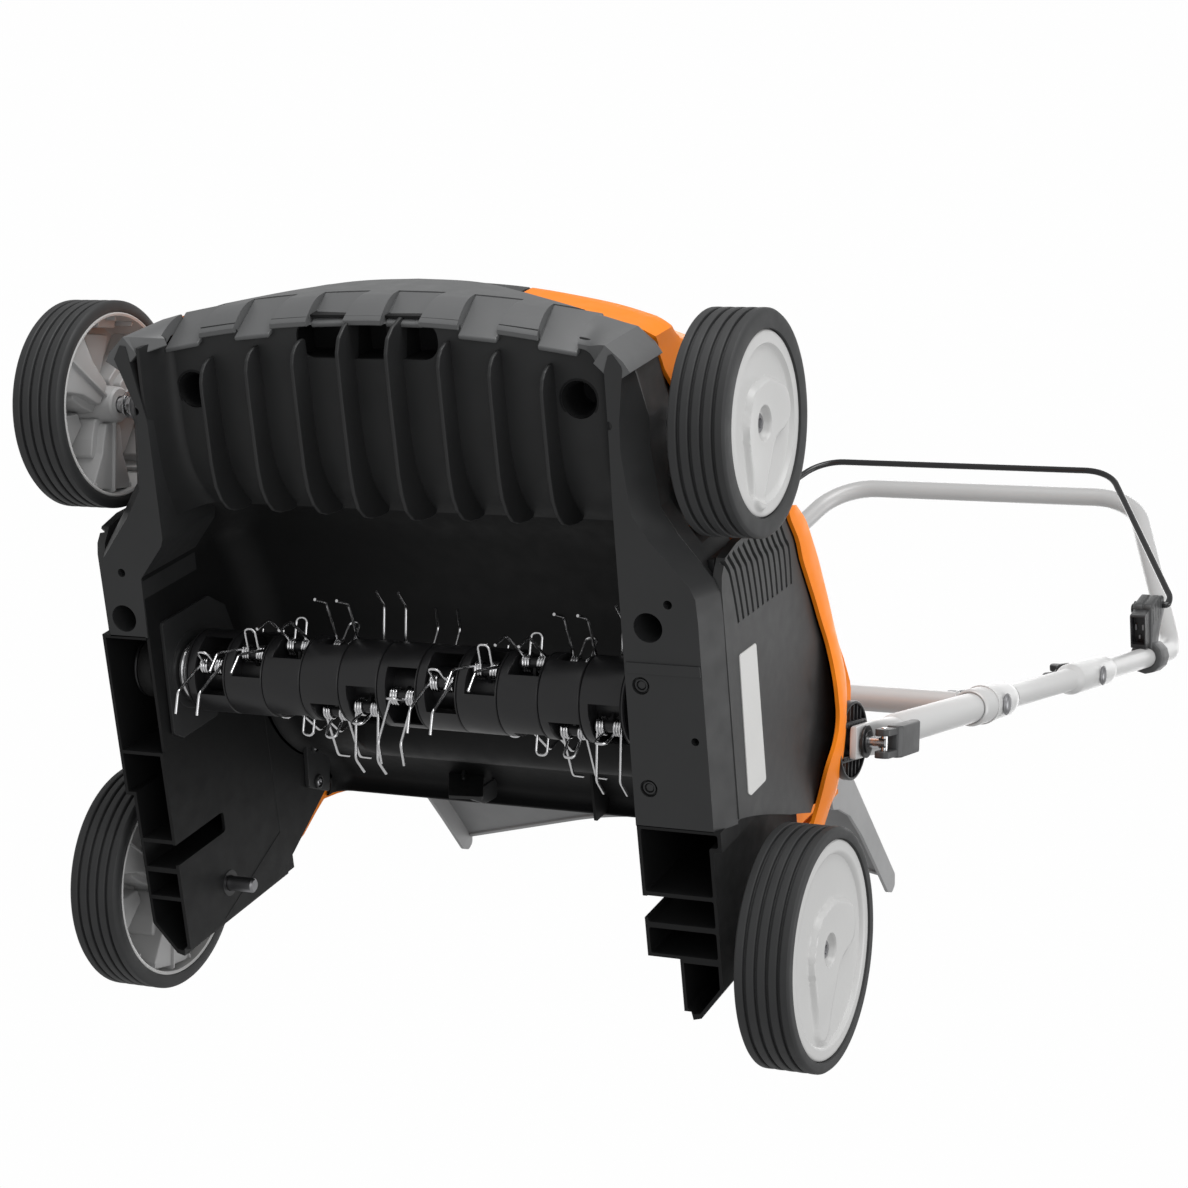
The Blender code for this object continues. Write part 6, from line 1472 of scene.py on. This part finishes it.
GAP = 0.0003
for side, tag in ((1, "right"), (-1, "left")):
    X = side * LEG_X

    def at(x, u_, n_, c=None):
        """Point beside the pivot, u_ along the leg and n_ across it."""
        c_ = Vector((0, TILT_Y, TILT_Z)) if c is None else c
        q = c_ + LEG_U * u_ + LEG_N * n_
        return Vector((side * x, q.y, q.z))

    # rosette: round cup, two rows of teeth along the leg and ribs in the segments beyond them
    def slab(xa, xb, u0, u1, n0, n1):
        vs_ = [at(xx, uu, nn) for xx in (xa, xb) for uu, nn in ((u0, n0), (u1, n0), (u1, n1), (u0, n1))]
        return obj(raw(vs_, [(0, 1, 2, 3), (4, 5, 6, 7), (0, 1, 5, 4), (1, 2, 6, 5), (2, 3, 7, 6), (3, 0, 4, 7)]))

    cup = prism(ellipse(TILT_Y, TILT_Z, 0.0286, 0.0290), "X", *sorted((side * 0.2505, side * 0.2570)))
    cut(cup, [prism(ellipse(TILT_Y, TILT_Z, 0.0264, 0.0268), "X", *sorted((side * 0.2520, side * 0.2600)))])
    ribs_ = [slab(0.2510, 0.2540, -0.0240, 0.0240, -0.0142, 0.0142),
             rod((side * 0.2400, TILT_Y + 0.0060, TILT_Z + 0.0060), (side * 0.2515, TILT_Y + 0.0060, TILT_Z + 0.0060), 0.0100, 32)]
    for sgn in (1, -1):
        ribs_.append(slab(0.2510, 0.2572, -0.0236, 0.0236, sgn * 0.0126, sgn * 0.0144))
        for uu in (-0.0150, -0.0075, 0.0, 0.0075, 0.0150):
            reach = math.sqrt(0.0270 ** 2 - uu ** 2)
            ribs_.append(slab(0.2510, 0.2560, uu - 0.0007, uu + 0.0007, sgn * 0.0140, sgn * reach))
    ribs_.append(ring((side * 0.2530, TILT_Y, TILT_Z), (side * 0.2574, TILT_Y, TILT_Z), 0.0044, 0.0082, 40))
    teeth = []
    for q in range(-6, 7):
        uu = 0.0034 * q
        for sgn in (1, -1):
            teeth.append(slab(0.2530, 0.2577, uu - 0.0009, uu + 0.0009, sgn * 0.0104, sgn * 0.0132))
    add("rosette_cup_" + tag, [bevel(cup, 0.0008, 3, 40)] + [bevel(r_, 0.0003, 1, 40) for r_ in ribs_ + teeth], "black",
        "chassis", ["rosette_" + tag])

    # lower leg with its flattened end
    L1 = (leg(0.5300, X) - leg(0.2900, X)).length
    leg_t = lathe([(-0.0060, 0.0100), (0.0, 0.0120), (L1, 0.0120), (L1, 0.0108), (-0.0060, 0.0088)], leg(0.2900, X), LEG_U,
                  64)
    secs = []
    c = Vector((0, TILT_Y, TILT_Z))
    for u_, w_, t_, off in ((-0.0150, 0.0106, 0.0022, -0.0017), (-0.0146, 0.0116, 0.0026, -0.0017),
                            (-0.0120, 0.0120, 0.0026, -0.0017), (0.0, 0.0121, 0.0026, -0.0017),
                            (0.0180, 0.0123, 0.0026, -0.0017), (0.0260, 0.0126, 0.0032, -0.0014),
                            (0.0400, 0.0126, 0.0062, -0.0008), (0.0560, 0.0122, 0.0102, -0.0002),
                            (0.0700, 0.0120, 0.0119, 0.0)):
        ring_ = []
        for q in range(48):
            a = 2 * math.pi * q / 48
            ca, sa = math.cos(a), math.sin(a)
            p = 0.35 if t_ < 0.005 else (0.75 if t_ < 0.009 else 1.0)
            ex = math.copysign(abs(ca) ** p, ca) * t_
            en = math.copysign(abs(sa) ** p, sa) * w_
            base_p = c + LEG_U * u_ + LEG_N * en
            ring_.append((side * (LEG_X + off + ex), base_p.y, base_p.z))
        secs.append(ring_)
    n = 48
    verts = [p for r in secs for p in r]
    faces = [tuple(range(n)), tuple((len(secs) - 1) * n + q for q in range(n))]
    for q in range(len(secs) - 1):
        faces += [(q * n + i, q * n + (i + 1) % n, (q + 1) * n + (i + 1) % n, (q + 1) * n + i) for i in range(n)]
    flat_end = obj(raw(verts, faces))
    cut(flat_end, [rod((side * 0.25, TILT_Y, TILT_Z), (side * 0.28, TILT_Y, TILT_Z), 0.0043, 40)])
    add("leg_tube_" + tag, [leg_t, flat_end], "tube", "handle", ["lower_leg_" + tag], sharp=40)
    # fine serration on the flattened end, in rows across the leg
    serr = []
    for q in range(-4, 13):
        u_ = 0.0016 * q
        if abs(u_) < 0.0076:
            continue
        w_ = 0.0100
        a_, b_, c_ = at(0.2588, u_ - 0.0007, -w_), at(0.2588, u_ + 0.0007, -w_), at(0.2579, u_, -w_)
        d_, e_, f_ = at(0.2588, u_ - 0.0007, w_), at(0.2588, u_ + 0.0007, w_), at(0.2579, u_, w_)
        serr.append(obj(raw([a_, b_, c_, d_, e_, f_], [(0, 1, 2), (3, 4, 5), (0, 1, 4, 3), (1, 2, 5, 4), (2, 0, 3, 5)])))
    add("leg_serration_" + tag, serr, "steel", "handle")

    b1, b2 = leg(0.5186, X), leg(0.8170, X)
    s0, s1 = leg(0.4700, X), leg(0.5640, X)
    length = (s1 - s0).length
    sleeve = lathe([(0.0006, 0.0123), (0, 0.0134), (0.0012, 0.0146), (0.0026, 0.0150), (length - 0.0160, 0.0150),
                    (length - 0.0120, 0.0146), (length - 0.0012, 0.0128), (length, 0.0122), (length, 0.0103),
                    (0.0680, 0.0103), (0.0650, 0.0123)], s0, LEG_U, 64)
    cut(sleeve, [rod((X - 0.03, b1.y, b1.z), (X + 0.03, b1.y, b1.z), 0.0036, 20)])
    seam = lathe([(0.0300, 0.0149), (0.0300, 0.0157), (0.0306, 0.0160), (0.0330, 0.0160), (0.0336, 0.0157), (0.0336, 0.0149)],
                 s0, LEG_U, 64)
    add("bow_sleeve_" + tag, [sleeve, seam], "tube", "handle", sharp=30)

    for nm, b, rad in (("low", b1, 0.0156), ("high", b2, 0.0146)):
        neck = -0.0205 if nm == "low" else -0.0195
        bolt = lathe([(neck, 0), (neck, 0.0032), (rad - 0.0006, 0.0032), (rad - 0.0006, 0.0086), (rad + 0.0004, 0.0090),
                      (rad + 0.0012, 0.0084), (rad + 0.0012, 0.0074), (rad + 0.0020, 0.0070), (rad + 0.0028, 0.0056),
                      (rad + 0.0031, 0.0030), (rad + 0.0031, 0)], (X, b.y, b.z), (side, 0, 0), 40, closed=False)
        add("carriage_bolt_%s_%s" % (nm, tag), bolt, "dull", "handle", ["bolt_%s_%s" % (nm, tag)], sharp=40)
        inner = 0.0160 if nm == "low" else 0.0150
        hub_k = lathe([(-inner - 0.0005, 0.0036), (-inner - 0.0005, 0.0088), (-inner - 0.0012, 0.0094),
                       (-inner - 0.0040, 0.0094), (-inner - 0.0110, 0.0082), (-inner - 0.0124, 0.0070),
                       (-inner - 0.0124, 0), (-inner - 0.0060, 0), (-inner - 0.0060, 0.0036)],
                      (X, b.y, b.z), (side, 0, 0), 40, closed=False)
        wing_p = smooth_path([(-0.0125, -inner - 0.0078), (0.0125, -inner - 0.0078), (0.0165, -inner - 0.0150),
                              (0.0160, -inner - 0.0232), (0.0088, -inner - 0.0232), (0.0058, -inner - 0.0150),
                              (-0.0058, -inner - 0.0150), (-0.0088, -inner - 0.0232), (-0.0160, -inner - 0.0232),
                              (-0.0165, -inner - 0.0150)], 0.0040, 5)
        nw = len(wing_p)
        vs = [(X + side * d, b.y + h, b.z + e) for h in (-0.0030, 0.0030) for e, d in wing_p]
        fs = [tuple(range(nw)), tuple(range(nw, 2 * nw))] + [(i, (i + 1) % nw, nw + (i + 1) % nw, nw + i)
                                                             for i in range(nw)]
        wings = bevel(obj(raw(vs, fs)), 0.0014, 3, 40)
        add("wing_nut_%s_%s" % (nm, tag), [hub_k, wings], "black", "knob_%s_%s" % (nm, tag),
            ["wing_knob_%s_%s" % (nm, tag)], sharp=40)

    # middle tube with its widened upper end
    q0, q1 = leg(0.5360, X), leg(0.8760, X)
    L = (q1 - q0).length
    Lw = (leg(0.7500, X) - q0).length
    mid = lathe([(0, 0.0100), (Lw, 0.0100), (Lw + 0.0020, 0.0106), (Lw + 0.0085, 0.0136), (Lw + 0.0120, 0.0140),
                 (L - 0.0140, 0.0140), (L - 0.0110, 0.0137), (L - 0.0010, 0.0124), (L, 0.0118), (L, 0.0104),
                 (Lw + 0.022, 0.0104), (Lw + 0.018, 0.0088), (0, 0.0088)], q0, LEG_U, 64)
    cut(mid, [rod((X - 0.03, b2.y, b2.z), (X + 0.03, b2.y, b2.z), 0.0036, 20)])
    add("mid_tube_drawn_" + tag, mid, "tube", "handle", ["mid_tube_" + tag], sharp=30)
    # dark ring where the thinner tube enters the lower sleeve
    e0 = leg(0.5642, X)
    add("gap_ring_" + tag, lathe([(0, 0.0100), (0, 0.0116), (0.0010, 0.0119), (0.0026, 0.0119), (0.0032, 0.0114),
                                  (0.0032, 0.0100)], e0, LEG_U, 64), "black", "handle")

    # quick release: crossbar on a rod, two prongs and a paddle
    cross_c = Vector((side * 0.2795, TILT_Y, TILT_Z))
    add("release_rod_" + tag, [rod((side * 0.2430, TILT_Y, TILT_Z), (side * 0.2815, TILT_Y, TILT_Z), 0.0040, 32, 0.0008),
                               rod(cross_c - LEG_N * 0.0110, cross_c + LEG_N * 0.0110, 0.0025, 24, 0.0004)], "steel",
        "handle", ["quick_bolt_" + tag])
    add("release_washer_" + tag, [ring((side * 0.2652, TILT_Y, TILT_Z), (side * 0.2672, TILT_Y, TILT_Z), 0.0041, 0.0118, 48),
                                  ring((side * 0.2672, TILT_Y, TILT_Z), (side * 0.2684, TILT_Y, TILT_Z), 0.0041, 0.0084,
                                       40)], "black", "handle", width=0.0004)
    pieces = []
    prof = smooth_path([(-0.0090, -0.0050), (0.0140, -0.0035), (0.0140, 0.0065), (-0.0060, 0.0060), (-0.0090, 0.0030)],
                       0.0030, 4)
    for s in (1, -1):
        verts = []
        for base_p in (cross_c + LEG_N * (s * 0.0055), cross_c + LEG_N * (s * 0.0105)):
            for a, cc in prof:
                verts.append(base_p + LEG_U * a + Vector((side * cc, 0, 0)))
        n = len(prof)
        faces = [tuple(range(n)), tuple(range(n, 2 * n))] + [(i, (i + 1) % n, n + (i + 1) % n, n + i) for i in range(n)]
        pieces.append(bevel(obj(raw(verts, faces)), 0.0007, 3, 40))
    prof = smooth_path([(0.0100, -0.0030), (0.0620, -0.0015), (0.0640, 0.0040), (0.0560, 0.0075), (0.0150, 0.0085),
                        (0.0100, 0.0060)], 0.0025, 4)
    verts = []
    for s in (-1, 1):
        for a, cc in prof:
            verts.append(cross_c + LEG_N * (s * 0.0115) + LEG_U * a + Vector((side * (cc + 0.0005), 0, 0)))
    n = len(prof)
    faces = [tuple(range(n)), tuple(range(n, 2 * n))] + [(i, (i + 1) % n, n + (i + 1) % n, n + i) for i in range(n)]
    paddle = bevel(obj(raw(verts, faces)), 0.0012, 3, 40)
    add("release_lever_" + tag, pieces + [paddle], "grey", "release_" + tag, ["quick_lever_" + tag])

cross_z = 0.4870
cy = leg(cross_z).y
bow = tube([(-LEG_X + 0.0125, cy, cross_z), (LEG_X - 0.0125, cy, cross_z)], 0.0105, 64, inner=0.0093)
cut(bow, [rod((0.0, cy, cross_z - 0.02), (0.0, cy, cross_z), 0.0020, 20)])
welds = [tube([(s * (LEG_X - 0.0150), cy, cross_z), (s * (LEG_X - 0.0164), cy, cross_z)], 0.0116, 48) for s in (1, -1)]
add("bow_tube", [bow] + [bevel(w, 0.0006, 2, 40) for w in welds], "tube", "handle", ["cross_bow"], sharp=40)

corner = Vector((0.1704, 0.0681, 1.3652))
half_a = [leg(0.7860, -LEG_X), leg(1.1400, -LEG_X), Vector((-corner.x, corner.y, corner.z))]
half_b = [leg(0.7860, LEG_X), leg(1.1400, LEG_X), Vector((corner.x, corner.y, corner.z))]
path = rounded(half_a + list(reversed(half_b)), 0.0640, 14)
upper = tube(path, 0.0100, 48, inner=0.0088)
for s in (-1, 1):
    h = leg(0.8170, s * LEG_X)
    cut(upper, [rod((h.x - 0.03, h.y, h.z), (h.x + 0.03, h.y, h.z), 0.0036, 20)])
add("loop_tube", upper, "tube", "handle", ["upper_loop"], sharp=50)

# switch box and the bearing block of the bail
for side, tag in ((1, "right"), (-1, "left")):
    cA, cB = leg(1.0300, side * LEG_X), leg(1.0620, side * LEG_X)
    L = (cB - cA).length
    clamp = lathe([(0, 0.0104), (0, 0.0152), (0.0012, 0.0164), (L - 0.0012, 0.0164), (L, 0.0152), (L, 0.0104)], cA, LEG_U, 12)
    clamp = bevel(clamp, 0.0010, 2, 20)
    if side > 0:
        poly = [(0.0740, 1.0350), (0.1225, 1.0300), (0.1240, 1.0570), (0.1120, 1.0640), (0.0960, 1.0870),
                (0.0810, 1.0860), (0.0740, 1.0660)]
        halves = [prism(smooth_path(poly, 0.0050, 5), "X", 0.2510, 0.2602),
                  prism(smooth_path(poly, 0.0050, 5), "X", 0.2608, 0.2695)]
        seam_core = [prism(smooth_path([(0.0985 + (a - 0.0985) * 0.96, 1.058 + (b - 1.058) * 0.97) for a, b in poly],
                                       0.0050, 5), "X", 0.2560, 0.2650)]
    else:
        poly = [(0.0950, 1.0560), (0.1225, 1.0380), (0.1240, 1.0570), (0.1060, 1.0700), (0.0960, 1.0870),
                (0.0810, 1.0860), (0.0780, 1.0700)]
        halves = [prism(smooth_path(poly, 0.0040, 5), "X", -0.2695, -0.2560)]
        seam_core = []
    tools = lambda: [rod(leg(0.99, side * LEG_X), leg(1.10, side * LEG_X), 0.0104, 40),
                     rod((side * 0.2590, BAIL_Y, BAIL_Z), (side * 0.30, BAIL_Y, BAIL_Z), 0.0034, 24)]
    done = []
    for h in halves + seam_core:
        h = bevel(h, 0.0020 if h in halves else 0.0004, 4, 40)
        cut(h, tools())
        if side > 0:
            cut(h, [rod((0.2460, 0.0823, 1.0450), (0.2590, 0.0823, 1.0450), 0.0058, 40)])
        done.append(h)
    grooves = []
    if side > 0:
        for q in range(4):
            z0 = 1.0395 + 0.0100 * q
            grooves.append(prism(smooth_path([(0.0780, z0), (0.0960, z0), (0.0960, z0 + 0.0012), (0.0780, z0 + 0.0012)],
                                             0.0005, 3), "X", 0.2684, 0.2720))
        cut(done[1], [joined(grooves)])
    name = "switch_box" if side > 0 else "bail_bracket"
    add(name + "_shell", done + [clamp], "grey", "handle", [name], sharp=35)
    if side > 0:
        add("switch_button_collar", ring((0.2496, 0.0823, 1.0450), (0.2512, 0.0823, 1.0450), 0.0060, 0.0078, 40), "grey",
            "handle", width=0.0004)
        scr = [lathe([(0.2693, 0), (0.2693, 0.0026), (0.2701, 0.0024), (0.2701, 0.0011), (0.2697, 0.0011), (0.2697, 0)],
                     (0, yy, zz), (1, 0, 0), 24, closed=False) for yy, zz in ((0.1180, 1.0400), (0.0900, 1.0800))]
        add("switch_screws", scr, "dull", "handle")
add("push_button", lathe([(0.2470, 0), (0.2470, 0.0042), (0.2476, 0.0050), (0.2484, 0.0054), (0.2498, 0.0055),
                          (0.2500, 0.0050), (0.2504, 0.0050), (0.2506, 0.0055), (0.2570, 0.0055), (0.2570, 0)],
                         (0, 0.0823, 1.0450), (1, 0, 0), 48, closed=False), "black", "button", ["safety_button"])
inlet = prism(smooth_path([(0.0780, 1.0130), (0.1120, 1.0130), (0.1150, 1.0296), (0.0780, 1.0345)], 0.0022, 4), "X",
              0.2530, 0.2680)
cut(inlet, [box(0.2545, 0.2665, 0.0800, 0.1080, 1.0000, 1.0240)])
blades = [box(0.2600 + s * 0.0035 - 0.0008, 0.2600 + s * 0.0035 + 0.0008, 0.0900, 0.0960, 1.0215, 1.0260)
          for s in (-1, 1)] + [box(0.2592, 0.2608, 0.1010, 0.1050, 1.0215, 1.0260)]
add("inlet_socket", inlet, "black", "handle", ["mains_inlet"], 0.0008, 3)
add("inlet_blades", blades, "dull", "handle", width=0.0002)

bail_half = [(0.2600, BAIL_Y, BAIL_Z), (0.2745, BAIL_Y, BAIL_Z), (0.2745, BAIL_Y - 0.0040, BAIL_Z + 0.0120),
             (0.1635, 0.0155, 1.2910)]
pts = [Vector((-x, y, z)) for x, y, z in bail_half] + [Vector(p) for p in reversed(bail_half)]
middle = rounded(pts[1:-1], 0.0450, 14)
first = rounded([pts[0], pts[1], middle[1]], 0.0028, 5)
last = rounded([middle[-2], pts[-2], pts[-1]], 0.0028, 5)
wire = first[:-1] + middle[1:-1] + last[1:]
add("bail_wire", tube(wire, 0.0034, 32), "bail", "bail", ["bail"], sharp=60)


# ------------------------------------------------------- carried-over CAD nodes
for o in frame["nodes"].values():
    if not o.hide_render:
        o.data.materials.clear()
        o.data.materials.append(M["deck"])

# ------------------------------------------------------------- floor and light
floor_me = bpy.data.meshes.new("floor")
floor_me.from_pydata([(-9, -9, -0.0015), (9, -9, -0.0015), (9, 9, -0.0015), (-9, 9, -0.0015)], [], [(0, 1, 2, 3)])
floor = bpy.data.objects.new("floor", floor_me)
bpy.context.scene.collection.objects.link(floor)
fm = bpy.data.materials.new("floor_pale")
fm.use_nodes = True
nt = fm.node_tree
p = nt.nodes["Principled BSDF"]
p.inputs["Base Color"].default_value = (0.86, 0.86, 0.86, 1)
p.inputs["Roughness"].default_value = 0.9
p.inputs["Specular IOR Level"].default_value = 0.1
clear = nt.nodes.new("ShaderNodeBsdfTransparent")
mix = nt.nodes.new("ShaderNodeMixShader")
geo = nt.nodes.new("ShaderNodeNewGeometry")
nt.links.new(geo.outputs["Backfacing"], mix.inputs["Fac"])
nt.links.new(p.outputs["BSDF"], mix.inputs[1])
nt.links.new(clear.outputs["BSDF"], mix.inputs[2])
nt.links.new(mix.outputs["Shader"], nt.nodes["Material Output"].inputs["Surface"])
floor_me.materials.append(fm)
floor.visible_diffuse = False
floor.visible_glossy = False
floor.visible_shadow = False

world = bpy.data.worlds.new("studio")
bpy.context.scene.world = world
world.use_nodes = True
nt = world.node_tree
bg = nt.nodes["Background"]
bg.inputs["Color"].default_value = (1.0, 1.0, 1.0, 1)
bg.inputs["Strength"].default_value = 0.50
seen = nt.nodes.new("ShaderNodeBackground")
seen.inputs["Color"].default_value = (0.992, 0.992, 0.992, 1)
seen.inputs["Strength"].default_value = 1.0
mix = nt.nodes.new("ShaderNodeMixShader")
lp = nt.nodes.new("ShaderNodeLightPath")
nt.links.new(lp.outputs["Is Camera Ray"], mix.inputs["Fac"])
nt.links.new(bg.outputs["Background"], mix.inputs[1])
nt.links.new(seen.outputs["Background"], mix.inputs[2])
nt.links.new(mix.outputs["Shader"], nt.nodes["World Output"].inputs["Surface"])


def area(name, where, target, size, power):
    l = bpy.data.lights.new(name, "AREA")
    l.shape, l.size, l.size_y, l.energy = "RECTANGLE", size[0], size[1], power
    o = bpy.data.objects.new(name, l)
    o.location = where
    o.rotation_euler = (Vector(target) - Vector(where)).to_track_quat("-Z", "Y").to_euler()
    bpy.context.scene.collection.objects.link(o)
    o.visible_camera = False
    return o


area("key_front", (0.9, -2.7, 0.4), (0.0, 0.0, 0.3), (2.4, 1.6), 62)
area("fill_below", (1.9, -0.9, -1.9), (0.0, 0.0, 0.2), (1.8, 1.8), 16)
area("rim_right", (2.8, 0.6, 0.9), (0.0, 0.1, 0.5), (1.4, 2.2), 26)
area("top_soft", (-0.6, 0.8, 3.2), (0.0, 0.0, 0.4), (2.5, 2.5), 40)
bpy.context.scene.view_settings.view_transform = "Standard"
bpy.context.scene.view_settings.look = "None"
